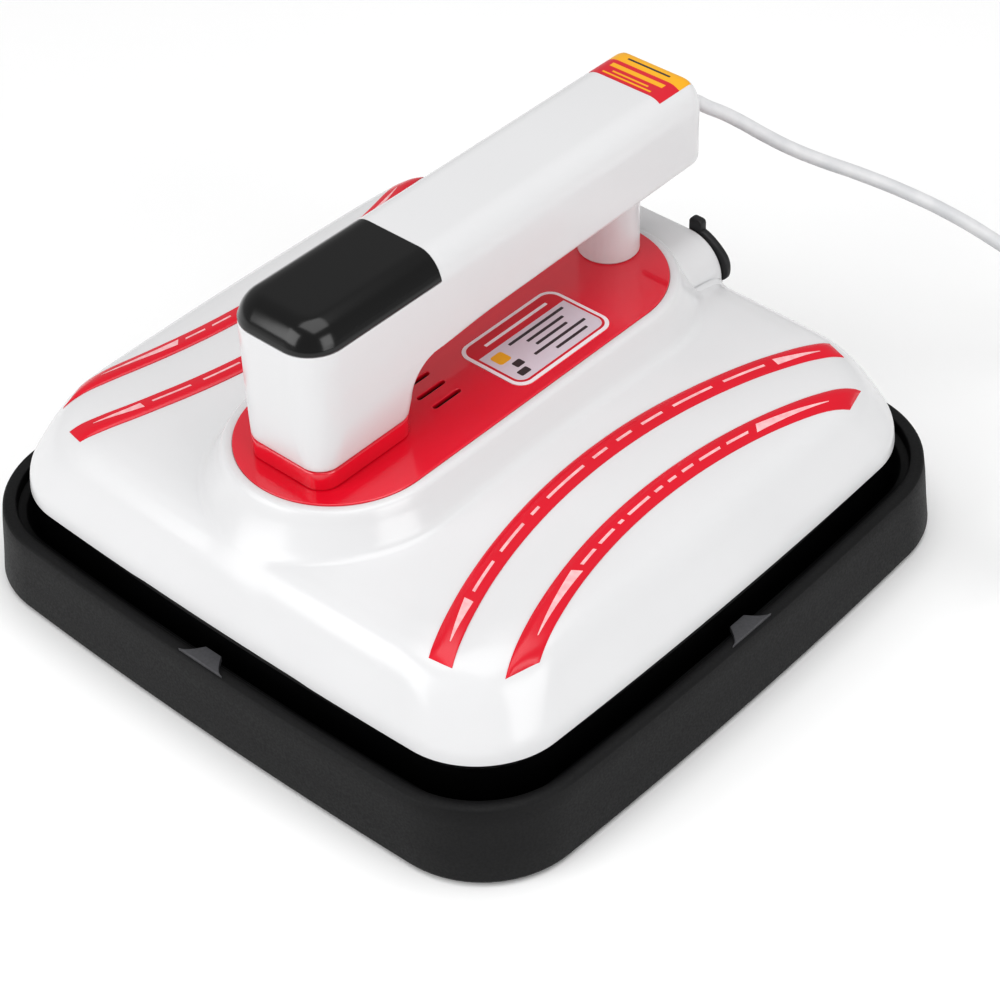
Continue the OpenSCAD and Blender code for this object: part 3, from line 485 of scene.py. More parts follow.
def trayPiece(v):  # half width, corner radius and height of each ring, from the foot over the rim into the well
    foot, rim, well, top, low0, floor = v["foot"], v["rim"], v["well"], trayTop, v["underside"], v["floor"]
    inner, step = rim - v["rimWidth"], top - v["wellStep"]
    footR, rimR, innerR, wellR = v["footRadius"], v["rimRadius"], v["rimRadius"] - v["rimWidth"], v["wellRadius"]
    profile = [(foot - 1.2, footR - 1, low0), (foot - 0.3, footR, low0 + 0.4), (foot, footR, low0 + 1.6),
               (foot - 0.5, footR + 1.5, low0 + 12), (rim + 0.35, rimR - 1, top - 7), (rim, rimR, top - 1.0),
               (rim - 0.12, rimR, top - 0.75), (rim - 0.75, rimR, top), (inner + 0.6, innerR + 0.5, top),
               (inner + 0.15, innerR, top - 0.3), (inner, innerR, top - 1), (inner, innerR, step + 0.5),
               (inner - 0.6, innerR, step), (well + 0.5, wellR, step), (well, wellR, step - 0.6),
               (well, wellR, floor + 2), (well - 0.6, wellR, floor + 0.6), (well - 2, wellR, floor)]
    rings = [atHeight(bowedSquare(half, radius, v["bow"]), z) for half, radius, z in profile]
    return loftMesh("restingTray", rings, sharp=50)


place(trayPiece(trayValues), "tray", tray, "tray_plastic", "base_tray")

tabValues = {"length": 22, "flank": 7, "hollow": 1.7, "foot": 137.4, "reach": 6.8, "height": 1.3, "depth": 1.0,
             "edge": 0.25}


def tabOutline(v):  # straight outside, hollowed ends towards the press
    half, shares = v["length"] / 2, [k / 6 for k in range(7)]
    flank = [(half - v["flank"] * t, v["reach"] * t ** v["hollow"] - v["foot"]) for t in shares]
    return [(-half, -v["foot"]), (half, -v["foot"])] + flank + [(-x, y) for x, y in reversed(flank)]


def tabPieces(v):
    tabs = []
    for k in range(4):
        tabs.append(flatPart("tab", [tabOutline(v)], trayTop - v["depth"], v["height"] + v["depth"], v["edge"]))
        tabs[-1].data.transform(Matrix.Rotation(math.radians(90 * k), 4, "Z"))
    return joinMeshes("locatingTabs", tabs)


place(tabPieces(tabValues), "tray", dullPart("mouldedTabNylon", "#47474a", "#3f3f42", 1.2, 0.42, 0.55, 0.04, 1.53),
      "tab_plastic", "locating_tabs")
print("tray made")

# Black housing under the cover

housingValues = {"bow": 2.6, "radius": 34, "wall": 2.5, "lipDrop": 1.5}


def housingPiece(v):  # one closed ring: outer face, bead under the cover, inner face
    start, bead, wall = low("lower_housing").z, edgeZ - v["lipDrop"], v["wall"]
    profile = [(-1.4, start), (-0.5, start + 0.3), (-0.3, start + 1.2), (-0.3, bead - 0.4), (-0.15, bead),
               (-0.7, bead + 0.3), (-0.9, edgeZ - 0.05), (-4.5, edgeZ - 0.05), (-4.5, edgeZ - 1.6),
               (-wall - 0.5, edgeZ - 3.5), (-wall - 0.5, start + 0.6), (-wall, start)]
    rings = [atHeight(bowedSquare(pressHalf + step, v["radius"], v["bow"]), z) for step, z in profile]
    return loftMesh("lowerHousing", rings, loop=True)


place(housingPiece(housingValues), "press", blackAbs, "black_gloss", "lower_housing")

# White cover: dome, boss and ridge

stripeValues = {"width": 8.6, "crestAt": 0.36, "crest": 1.35, "edge": 0.45, "along": 90,
                "hollow": 0.75, "hollowWide": 6.5, "hollowEnd": 7, "endIn": 4, "under": 1.4,
                "stripes": [("right_inner", 1, 252, 66.2, 108.5, -2, 0), ("right_outer", 1, 238, 93.6, 97, 12, 1),
                            ("left_inner", -1, 252, 66.2, 108.5, -2, 0), ("left_outer", -1, 238, 93.6, 97, 12, 1)]}

coverValues = {"bow": 3.6, "corner": 33, "panelRadius": 38, "panelHalf": 100, "blend": 1.8, "wall": 2.4,
               "lip": 0.12, "seat": 1.9, "below": 4.2, "ridgeHalf": 31, "ridgeShoulder": 16, "ridgeTop": 1.5, "ridgeFlare": 3,
               "ridgeStart": 90, "ridgeEdge": 1.6}
domeProfile = [(0, 0), (0.3, 4.2), (0.8, 6.6), (3.2, 12), (6, 18.5), (8.5, 23.5), (12, 27.8), (16, 30.2),
               (23, 31.6), (36, 32.8), (54, 33.6), (76, 35), (96, 36), (140, 36)]
bossProfile = [(-40, 0), (2.4, 0), (3.2, -0.3), (4.0, -1.1), (4.8, -2.8), (6.0, -5.6), (8, -9.2), (10, -12.4),
               (12, -15.2), (14, -17.8), (18, -22.5), (30, -36), (60, -68)]


def smoothCurve(profile, spread):  # piecewise line, rounded over by averaging across spread
    xs, ys = zip(*profile)
    steps = np.linspace(-1, 1, 9)
    weights = 1 - np.abs(steps) * 0.7
    def at(x):
        x = np.asarray(x, float)
        total = sum(w * np.interp(x + s * np.minimum(spread, np.maximum(x, 0) * 0.6 + 0.05), xs, ys)
                    for s, w in zip(steps, weights))
        return total / weights.sum()
    return at


domeCurve = smoothCurve(domeProfile, 2.4)
bossCurve = smoothCurve(bossProfile, 0.0)
rimCurve = smoothCurve([(0, 0), (0.3, 4.4), (0.8, 7), (3.2, 13), (6, 20.5), (8.5, 26), (12, 31.5), (16, 36),
                         (22, 44), (32, 64)], 2.0)


def stadiumGap(x, y):  # distance outside the panel's outline, less than nothing inside
    v = coverValues
    reach = np.maximum(np.abs(y) - (v["panelHalf"] - v["panelRadius"]), 0)
    return np.hypot(x, reach) - v["panelRadius"]


def insetOf(x, y):  # how far the rounded-square ring through a point lies inside the cover's edge
    v = coverValues
    k = v["bow"] / pressHalf
    px = np.abs(x) / (1 - k * (y / pressHalf) ** 2)
    py = np.abs(y) / (1 - k * (x / pressHalf) ** 2)
    lowEnd, highEnd = np.full(np.shape(px), -6.0), np.full(np.shape(px), 110.0)
    for _ in range(26):
        d = (lowEnd + highEnd) / 2
        r = np.minimum(pressHalf - d - 4, v["corner"] + np.maximum(d, 0) / 4)
        qx, qy = px - (pressHalf - d - r), py - (pressHalf - d - r)
        past = np.hypot(np.maximum(qx, 0), np.maximum(qy, 0)) + np.minimum(np.maximum(qx, qy), 0) - r
        lowEnd, highEnd = np.where(past > 0, lowEnd, d), np.where(past > 0, d, highEnd)
    return (lowEnd + highEnd) / 2


bossTop = panelTop - 0.5


def softMax(a, b, k):
    h = np.clip(0.5 + 0.5 * (a - b) / k, 0, 1)
    return b + (a - b) * h + k * h * (1 - h)


def stripeHollow(x, y):  # shallow hollow that each stripe lies in
    v, depth = stripeValues, 0
    for name, side, radius, nearest, reach, rake, kind in v["stripes"]:
        away = np.hypot(x * side - nearest - radius, y) - radius
        past = np.maximum(0, np.abs(y) - reach + v["endIn"])
        near = np.exp(-(away / v["hollowWide"]) ** 2 - (past / v["hollowEnd"]) ** 2)
        depth = np.maximum(depth, np.where(x * side > 0, near, 0))
    return v["hollow"] * depth


def coverHeight(x, y):
    dome = edgeZ + domeCurve(insetOf(x, y)) - stripeHollow(x, y)
    boss = bossTop + bossCurve(stadiumGap(x, y))
    boss = -softMax(-boss, -(edgeZ + rimCurve(insetOf(x, y))), 4)
    return softMax(dome, boss, coverValues["blend"])


def ringAt(field, level, angles):  # radius at each angle where field reaches level
    near, far = np.full(angles.shape, 1.0), np.full(angles.shape, 190.0)
    for _ in range(30):
        middle = (near + far) / 2
        out = field(middle * np.cos(angles), middle * np.sin(angles)) > level
        near, far = np.where(out, near, middle), np.where(out, middle, far)
    return (near + far) / 2


def coverPiece(v):
    angles = np.linspace(0, 2 * math.pi, 480, endpoint=False)
    def ring(radii, z=None):  # at height z, or on the cover's own surface
        x, y = radii * np.cos(angles), radii * np.sin(angles)
        return np.stack([x, y, coverHeight(x, y) if z is None else z + 0 * x], 1)
    edge = [ringAt(lambda x, y: -insetOf(x, y), -d, angles)
            for d in (0, 0.1, 0.25, 0.45, 0.8, 1.3, 1.9, 2.8, 4, 5.2, 6.5, 8, 9.5, 11, 12.4)]
    boss = [ringAt(stadiumGap, o, angles)
            for o in (13.5, 12, 10.5, 9, 8, 7.2, 6.5, 5.9, 5.4, 5.0, 4.7, 4.4, 4.1, 3.8, 3.4, 3, 2.5, 1.6, 0.5)]
    between = [edge[-1] + (boss[0] - edge[-1]) * t for t in np.linspace(0, 1, 42)[1:-1]]
    outer = [ring(radii) for radii in edge + between + boss]
    lip, inner = ringAt(stadiumGap, v["lip"], angles), ringAt(stadiumGap, -9, angles)
    seat = [ring(radii, bossTop - down) for radii, down in
            ((lip, v["lip"]), (lip, v["seat"]), (inner, v["seat"]), (inner, v["below"]))]
    inside = []
    for at in reversed(outer[::3]):  # the inside follows the outside, one wall lower
        z = np.clip(at[:, 2] - v["wall"], edgeZ + 0.3, bossTop - v["below"])
        inside.append(ring(np.hypot(at[:, 0], at[:, 1]) - v["wall"], z))
    inside.append(ring(edge[0] - v["wall"], edgeZ))
    return loftMesh("topCover", outer + seat + inside, loop=True, sharp=60)


cover = coverPiece(coverValues)
coverTree = BVHTree.FromObject(cover, bpy.context.evaluated_depsgraph_get())


def onCover(x, y, lift=0.0):  # point of the cover's outside over x, y
    hit = coverTree.ray_cast(Vector((x * mm, y * mm, 0.3)), Vector((0, 0, -1)))[0]
    return (x, y, hit.z / mm + lift)


def ridgePiece(v):  # arched ridge behind the boss, its feet flared into the dome
    rings, rear, edge, flare = [], low("rear_rest").y, v["ridgeEdge"], v["ridgeFlare"]
    for y in list(np.linspace(v["ridgeStart"], rear - edge, 12)) + [rear - 1.0, rear - 0.5, rear - 0.15, rear]:
        shrink = 1.4 * (1 - math.sqrt(max(0, 1 - max(0, (y - rear + edge) / edge) ** 2)))
        half = v["ridgeHalf"] - shrink
        foot = float(coverHeight(np.array([half + 3]), np.array([min(y, 116)]))[0]) - 0.8
        side = archSide(half, v["ridgeShoulder"], bossTop - v["ridgeTop"] - shrink)
        side += [(half + flare * (1 - math.cos(a)), foot + flare * (1 - math.sin(a)))
                 for a in np.linspace(0, math.pi / 2, 8)]
        side.append((half + flare, foot - 3))
        rings.append([(x, y, z) for x, z in mirrored(side)])
    return loftMesh("coverRidge", rings)


ridge = ridgePiece(coverValues)
place(joinMeshes("topCover", [cover, ridge]), "press", whiteAbs, "white_gloss", "top_cover")
print("cover made")

# Stripes

def stripePoint(stripe, u, w, lift=0.0):  # u from -1 to 1 along it, w from 0 to 1 outwards
    name, side, radius, nearest, reach, rake, kind = stripe
    angle = math.degrees(math.asin(reach / radius)) - w * rake / 5
    a = math.radians(180 + angle * u)
    r = radius + stripeValues["width"] * (0.5 - w)
    x = nearest + radius + r * math.cos(a)
    return onCover(side * x, -r * math.sin(a), lift)


def stripeHeight(u, w):
    v = stripeValues
    t = w / v["crestAt"] if w < v["crestAt"] else (1 - w) / (1 - v["crestAt"])
    rise = v["edge"] + (v["crest"] - v["edge"]) * (1 - (1 - t) ** 1.7)
    fade = min(1.0, (1 - abs(u)) / 0.04)
    return v["edge"] * 0.6 + (rise - v["edge"] * 0.6) * (fade * (2 - fade))


def stripePiece(stripe):
    v = stripeValues
    ws = [0, 0.03, *np.linspace(0.1, v["crestAt"], 4), *np.linspace(v["crestAt"], 0.93, 5)[1:], 0.98, 1]
    rings = []
    for u in np.linspace(-1, 1, v["along"] + 1):
        top = [stripePoint(stripe, u, w, stripeHeight(u, w) - (0.12 if w in (0, 1) else 0)) for w in ws]
        under = [(p[0], p[1], p[2] - v["under"]) for p in (top[-1], top[0])]
        rings.append(top + under)
    return loftMesh("stripe_" + stripe[0], rings, sharp=40)


def stripePatch(stripe, u0, u1, low0, high0, low1, high1, steps=12):  # printed shape between two slanted borders
    points, faces = [], []
    for k in range(steps + 1):
        t = k / steps
        u = u0 + (u1 - u0) * t
        a, b = low0 + (low1 - low0) * t, high0 + (high1 - high0) * t
        for j in range(4):
            w = a + (b - a) * j / 3
            points.append(stripePoint(stripe, u, w, stripeHeight(u, w) + 0.05))
    for k in range(steps):
        for j in range(3):
            i = k * 4 + j
            faces.append((i, i + 1, i + 5, i + 4))
    return points, faces


printValues = {"wedgeInner": (0.76, 0.93), "wedgeOuter": (0.53, 0.88), "dashLow": 0.49, "dashHigh": 0.62,
               "wedge": (0.36, 0.76, 0.60, 0.64),
               "words": (6, 6, 2, 8, 3, 3, 4, 7, 7), "letter": 0.0145, "gap": 0.024, "space": 0.006, "clear": 0.07}


def stripePrint(stripe):  # a wedge near each end, and a row of plain dashes between them
    v = printValues
    first, last = v["wedgeOuter"] if stripe[6] else v["wedgeInner"]
    points, faces = [], []
    def add(part):
        shift = len(points)
        points.extend(part[0])
        faces.extend(tuple(i + shift for i in f) for f in part[1])
    for end in (-1, 1):
        add(stripePatch(stripe, end * first, end * last, *v["wedge"]))
    total = sum(v["words"]) * v["letter"] + (len(v["words"]) - 1) * v["gap"]
    room = 2 * first - v["clear"]
    scale = room / total
    at = -room / 2
    for word in v["words"]:
        length = word * v["letter"] * scale
        add(stripePatch(stripe, at, at + length - v["space"], *[v["dashLow"], v["dashHigh"]] * 2, 6))
        at += length + v["gap"] * scale
    return meshFrom("print_" + stripe[0], [Vector(p) * mm for p in points], faces)


for stripe in stripeValues["stripes"]:
    place(stripePiece(stripe), "press", inlayRed, "red_gloss", "stripe_" + stripe[0])
    place(stripePrint(stripe), "press", ink, "red_gloss")
print("stripes made")

# Red panel, its plinth, and the data plate

panelValues = {"radius": 38, "half": 100, "slots": 5, "pitch": 7.7, "slotY": -23, "slotHalf": 7, "slotRadius": 1.0}


def slotOutline(v, x):
    return [(x + dx, v["slotY"] + dy) for dx, dy in stadiumOutline(v["slotRadius"], v["slotHalf"], 6)]


def redPanel(v):
    slots = [slotOutline(v, (k - (v["slots"] - 1) / 2) * v["pitch"]) for k in range(v["slots"])]
    z, outline = low("boss_panel").z, stadiumOutline(v["radius"], v["half"], 40)
    return flatPart("redPanel", [outline] + slots, z, panelTop - z, 0.35)


place(redPanel(panelValues), "press", panelRed, "red_panel", "boss_panel")

plinthValues = {"radius": 8, "seam": 0.5, "crown": 0.9}


def plinthPiece(v):  # foot of the front post, its top edge rounded over
    start, end = low("front_plinth"), high("front_plinth")
    tall = end.z - start.z
    profile = [(-v["seam"], 0.0), (-v["seam"], v["seam"] * 0.6), (0.0, v["seam"]), (0.0, tall * 0.5)]
    for k in range(7):
        a = math.radians(90 * k / 6)
        profile.append((-v["crown"] * (1 - math.cos(a)), tall - v["crown"] * (1 - math.sin(a))))
    rings = []
    for step, z in profile:
        corner = v["radius"] + step
        outline = roundedBox(end.x + step, start.y - step, end.y + step, corner, corner, 14)
        rings.append(atHeight(outline, start.z + z))
    return loftMesh("frontPlinth", rings)


place(plinthPiece(plinthValues), "press", panelRed, "red_panel", "front_plinth")

labelValues = {"half": 16.5, "front": -2, "rear": 50, "radius": 6, "thick": 0.4, "shift": 16.5, "border": 1.5,
               "fieldIn": 2.5, "fieldFrom": 9.6, "heading": (5.2, 6.6, 8, 42), "mark": (12.2, 18.2, 3.2, 9.2, 1.2),
               "rowWide": 1.3, "rows": [(11.6, 14, 44), (15.2, 20, 40), (18.8, 21, 38), (22.4, 16, 44), (26, 24, 41)],
               "squares": [(20.2, 23.6, 6.2, 10.4, 0.6), (25.0, 28.2, 3.6, 8.6, 0.6)]}


def labelBox(v, inset):
    corner = v["radius"] - inset * 0.8
    outline = roundedBox(v["half"] - inset, v["front"] + inset, v["rear"] - inset, corner, corner, 8)
    return [(x + v["shift"], y) for x, y in outline]


def barOutline(x0, x1, y0, y1, r=0.3):
    return [(x + (x0 + x1) / 2, y) for x, y in roundedBox((x1 - x0) / 2, y0, y1, r, r, 4)]


def labelPieces(v):  # plain bars and squares stand for the printing
    field = [(max(x, v["fieldFrom"]), y) for x, y in labelBox(v, v["fieldIn"])]
    rows = [barOutline(x, x + v["rowWide"], a, b) for x, a, b in v["rows"]]
    layers = [("Border", [labelBox(v, v["border"])], 0, 0.05), ("Field", [field], 0.05, 0.05),
              ("Heading", [barOutline(*v["heading"])], 0.05, 0.05), ("Rows", rows, 0.1, 0.04),
              ("Mark", [barOutline(*v["mark"])], 0.1, 0.04),
              ("Squares", [barOutline(*bar) for bar in v["squares"]], 0.1, 0.04)]
    base = flatPart("dataPlate", [labelBox(v, 0)], panelTop, v["thick"], 0.08)
    return [base] + [flatPart("dataPlate" + name, outlines, panelTop + v["thick"] + up, thick)
                     for name, outlines, up, thick in layers]


whiteFilm = printedFilm("whiteLabelFilm", "#f4eef1", "#efe9ec")
fieldFilm = printedFilm("greyLabelFilm", "#dcd3dc", "#d6cdd6")
redFilm = printedFilm("redLabelFilm", "#d41a30", "#cc1229")
darkInk = printedFilm("darkLabelInk", "#3a3438", "#332d31")
amberFilm = printedFilm("amberLabelFilm", "#f2b41c", "#ecaa14")
labelFilms = (whiteFilm, redFilm, fieldFilm, whiteFilm, darkInk, amberFilm, darkInk)
for piece, film in zip(labelPieces(labelValues), labelFilms):
    place(piece, "press", film, "label_film", *(["spec_label"] if piece.name == "dataPlate" else []))
print("panel and plate made")

# Handle

handleValues = {"frontRadius": 14, "rearRadius": 8, "topIn": 10, "topDown": 12, "lowIn": 2.4, "lowUp": 3,
                "postHalf": 19.6, "postFront": -90, "postRear": -42, "postRadius": 8, "arch": 13,
                "capRear": -29, "rearShare": 0.65, "rearRise": 2.6, "capDown": 10, "seam": 0.25,
                "fade": 34, "riseFrom": -20, "riseOver": 130, "rearCorner": 9}


def topInset(z, v):  # quarter ellipse over the beam's top edges
    t = max(0.0, (z - (beamTop - v["topDown"])) / v["topDown"])
    return v["topIn"] * (1 - math.sqrt(max(0.0, 1 - t * t)))


def topHeights(v):
    return [beamTop - v["topDown"] * (1 - math.sin(a)) for a in np.linspace(0, math.pi / 2, 15)]


def beamPiece(v):
    def ring(inset, z):
        outline = roundedBox(beamHalf - inset, beamFront + inset, beamRear - inset * v["rearShare"],
                             max(2.0, v["frontRadius"] - inset), max(2.0, v["rearRadius"] - inset), 12)
        return atHeight(outline, z)
    def spread(points):  # more points along the two long sides
        out = []
        for k, p in enumerate(points):
            out.append(p)
            q = points[(k + 1) % len(points)]
            if abs(p[1] - q[1]) > 60:
                out += [tuple(p[i] + (q[i] - p[i]) * t for i in range(3)) for t in np.linspace(0, 1, 32)[1:-1]]
        return out
    def lowRing(a):
        z = beamLow + v["lowUp"] * (1 - math.cos(a))
        under = v["lowIn"] * (1 - math.sin(a))
        points = []
        for x, y, z in spread(ring(0, z)):  # the lower rounding fades out over the front post
            cut = under * easeBetween((y + v["fade"]) / v["fade"])
            climb = min(1.0, max(0.0, (y - v["riseFrom"]) / v["riseOver"]))  # up a little to the rear
            shift = cut if y > beamRear - v["rearCorner"] else 0
            points.append((x * (1 - cut / beamHalf), y - shift, z + v["rearRise"] * climb))
        return points
    rings = [lowRing(a) for a in np.linspace(0, math.pi / 2, 8)]
    rings += [spread(ring(0, beamLow + up)) for up in (10, 18)]
    rings += [spread(ring(topInset(z, v), z)) for z in topHeights(v)]
    rings.append(spread(ring(v["topIn"] + 1.5, beamTop)))
    return loftMesh("handleShell", rings, sharp=60)


def capSpace(v):  # block that the display cap's seat is cut with
    x, y0, y1 = beamHalf + 5, beamFront - 5, v["capRear"] + v["seam"]
    z0, z1 = beamTop - v["capDown"] - v["seam"], beamTop + 5
    corners = [(-x, y0), (x, y0), (x, y1), (-x, y1)]
    return loftMesh("capSpace", [atHeight(corners, z0), atHeight(corners, z1)])


def cutAway(piece, tool):
    cutter = piece.modifiers.new("cut", "BOOLEAN")
    cutter.operation = "DIFFERENCE"
    cutter.solver = "EXACT"
    cutter.object = tool
    mesh = frozen(piece)
    piece.modifiers.clear()
    piece.data = mesh
    bpy.data.objects.remove(tool)
    return piece


def postPiece(v):  # front post, widening into the beam and arching back under it
    rings = []
    base = high("front_plinth").z
    top = beamLow + 9
    for z in (base, base + 0.25, base + 0.7, base + 1.5, *np.linspace(base + 3, top, 36)):
        t = min(1.0, (z - base) / (beamLow - base))
        ease = 1 - (1 - t) ** 2
        edge = 0.7 * max(0.0, 1 - (z - base) / 1.5) ** 2
        half = v["postHalf"] + (beamHalf - 0.04 - v["postHalf"]) * ease - edge
        front = v["postFront"] + (beamFront + 0.04 - v["postFront"]) * ease + edge
        up = z - (beamLow - v["arch"])
        reach = 0 if up <= 0 else v["arch"] - math.sqrt(max(0.0, v["arch"] ** 2 - min(up, v["arch"]) ** 2))
        rear = v["postRear"] + reach - edge
        if z > beamLow - 0.05:
            rear = v["postRear"] + v["arch"] - 1.0
        corner = v["postRadius"] + (v["frontRadius"] - v["postRadius"]) * ease
        rings.append(atHeight(roundedBox(half, front, rear, corner, v["postRadius"] * (1 - 0.5 * t), 14), z))
    return loftMesh("frontPost", rings, sharp=60)


shell = cutAway(beamPiece(handleValues), capSpace(handleValues))
beamTree = BVHTree.FromObject(shell, bpy.context.evaluated_depsgraph_get())
handle = joinMeshes("handleShell", [shell, postPiece(handleValues)])
place(handle, "press", whiteAbs, "white_gloss", "handle_shell", "handle_underside")


def displayCap(v):  # follows the beam's outside, cut straight at its rear
    def ring(inset, z):
        outline = roundedBox(beamHalf - inset, beamFront + inset, 200, max(2.0, v["frontRadius"] - inset), 8, 18)
        half, rear, turn = beamHalf - inset, v["capRear"], beamFront + 20
        left = [p for p in outline if p[0] < 0 and p[1] < turn]
        right = [p for p in outline if p[0] >= 0 and p[1] < turn]
        sides = [(half, y) for y in np.linspace(turn, rear, 12)]
        back = [(half * t, rear) for t in np.linspace(1, -1, 11)[1:-1]]
        others = [(-half, y) for y in np.linspace(rear, turn, 12)]
        return atHeight(left + right + sides + back + others, z)
    base = beamTop - v["capDown"]
    rings = [ring(0.35, base), ring(0.08, base + 0.2), ring(0.0, base + 0.6)]
    rings += [ring(topInset(z, v), z) for z in topHeights(v) if z > base + 0.7]
    rings.append(ring(v["topIn"] + 1.5, beamTop))
    return loftMesh("displayCap", rings, sharp=60)


place(displayCap(handleValues), "press", displayAcrylic, "black_gloss", "display_cover")

rearPostValues = {"fillet": 0.7}


def rearPost(v):
    corner, top = low("rear_post"), high("rear_post")
    radius = (top.x - corner.x) / 2
    profile = [(0.2, corner.z), (radius - 0.5, corner.z), (radius, corner.z + v["fillet"]), (radius, corner.z + 6),
               (radius, top.z - 1), (radius, top.z + 3), (0.2, top.z + 3)]
    return latheMesh("rearPost", profile, Matrix.Translation((0, (corner.y + top.y) / 2 * mm, 0)), 96)


place(rearPost(rearPostValues), "press", whiteAbs, "white_gloss", "rear_post")

filmValues = {"half": 17, "front": 94, "change": 105.3, "rear": 112.2, "thick": 0.12, "lift": 0.16, "rowLift": 0.22}
filmRows = [(-12, 11, 95.6, 0.9, amberFilm), (-9, 8, 97.8, 0.9, amberFilm), (-12.5, 12.5, 100.6, 2.4, amberFilm),
            (-10, 10, 108.0, 0.9, darkInk)]  # from, to, front, width, finish


def filmPiece(name, x0, x1, y0, y1, lift, rows=10, across=24):  # thin film lying on the beam's top
    points, faces = [], []
    for level in (lift, lift - filmValues["thick"]):
        for j in range(rows + 1):
            for i in range(across + 1):
                x, y = x0 + (x1 - x0) * i / across, y0 + (y1 - y0) * j / rows
                hit = beamTree.ray_cast(Vector((x * mm, y * mm, 0.3)), Vector((0, 0, -1)))[0]
                points.append((x * mm, y * mm, hit.z + level * mm))
    step = (rows + 1) * (across + 1)
    for j in range(rows):
        for i in range(across):
            a = j * (across + 1) + i
            faces.append((a, a + 1, a + across + 2, a + across + 1))
            faces.append((step + a, step + a + across + 1, step + a + across + 2, step + a + 1))
    border = list(range(across)) + [across + j * (across + 1) for j in range(rows)]
    border += [step - 1 - i for i in range(across)] + [rows * (across + 1) - j * (across + 1) for j in range(rows)]
    for k, a in enumerate(border):
        b = border[(k + 1) % len(border)]
        faces.append((b, a, step + a, step + b))
    return meshFrom(name, points, faces)


def placeFilms(v):
    for name, y0, y1, film, nodes in (("Red", v["front"], v["change"], redFilm, ["caution_plate"]),
                                      ("Amber", v["change"], v["rear"], amberFilm, [])):
        plate = filmPiece("cautionFilm" + name, -v["half"], v["half"], y0, y1, v["lift"])
        place(plate, "press", film, "caution_film", *nodes)
    for k, (x0, x1, y, wide, film) in enumerate(filmRows):
        row = filmPiece("cautionRow" + str(k), x0, x1, y, y + wide, v["rowLift"], 2, 16)
        place(row, "press", film, "caution_film")


placeFilms(filmValues)
print("handle made")

# Black rest round the ridge's rear end

restValues = {"lugWidth": 6, "lugAt": 16.5, "lugFrom": 6.5, "depth": 3.5, "half": 31, "shoulder": 16, "drop": 1.5,
              "plateHalf": 29.4, "plateShoulder": 15, "plateDrop": 4.2, "swell": 1.3, "swellAt": 0.72}


def restStrap(v, side):  # strap that swells as it comes down the shoulder and ends in a round tip
    back = low("rear_rest").y
    top, half, shoulder, depth = bossTop - v["drop"], v["half"], v["shoulder"], v["depth"]
    rings = []
    angles = np.linspace(92, -6, 34)
    for k, deg in enumerate(angles):
        a = math.radians(deg)
        t = k / (len(angles) - 1)
        swell = 0.8 + v["swell"] * math.exp(-((t - v["swellAt"]) / 0.2) ** 2)
        tip = min(1.0, (1 - t) / 0.1)
        swell *= math.sqrt(max(0.03, tip * (2 - tip)))
        centre = (half - shoulder + (shoulder - 1.0) * math.cos(a), top - shoulder + (shoulder - 1.0) * math.sin(a))
        out = (math.cos(a), math.sin(a))
        low1, high1 = -1.2, 1.0 + swell
        section = []
        for q in range(16):
            b = 2 * math.pi * q / 16
            cx, cy = (math.copysign(abs(c) ** 0.6, c) for c in (math.cos(b), math.sin(b)))
            r = (low1 + high1) / 2 + (high1 - low1) / 2 * cx
            y = back + depth / 2 + depth / 2 * cy
            section.append((side * (centre[0] + out[0] * r), y, centre[1] + out[1] * r))
        rings.append(section)
    return loftMesh("restStrap", rings)


def restLug(v, side):  # upright lug with rounded top corners
    back, depth, half = low("rear_rest").y, v["depth"], v["lugWidth"] / 2
    z0, z1 = bossTop - v["lugFrom"], high("rear_rest").z
    middle, rings = (z0 + z1) / 2, []
    for inset, y in ((0.5, 0.02), (0.1, 0.2), (0, 0.6), (0, depth - 0.6), (0.1, depth - 0.2), (0.5, depth)):
        keep = 1 - inset / half
        rings.append([(side * v["lugAt"] + x * keep, back + y, middle + (z - middle) * keep)
                      for x, z in roundedBox(half, z0, z1, 0.6, 1.6, 8)])
    return loftMesh("restLug", rings)


def restPlate(v):  # flat back on the ridge's end
    corner, top, half = low("rear_rest"), bossTop - v["plateDrop"], v["plateHalf"]
    outline = mirrored(archSide(half, v["plateShoulder"], top) + [(half, corner.z)])
    tall = top - corner.z
    rings = [[(x * (1 - inset / half), corner.y + y, z - inset * (z - corner.z) / tall) for x, z in outline]
             for inset, y in ((0, 0.01), (0, 1.6), (0.15, 1.9), (0.5, 2.1))]
    return loftMesh("restPlate", rings)


restSides = [make(restValues, side) for make in (restStrap, restLug) for side in (-1, 1)]
rest = joinMeshes("rearRest", [restPlate(restValues)] + restSides)
place(rest, "press", rubber, "black_rubber", "rear_rest")
print("rest made")

# Finishes of the carried-over parts

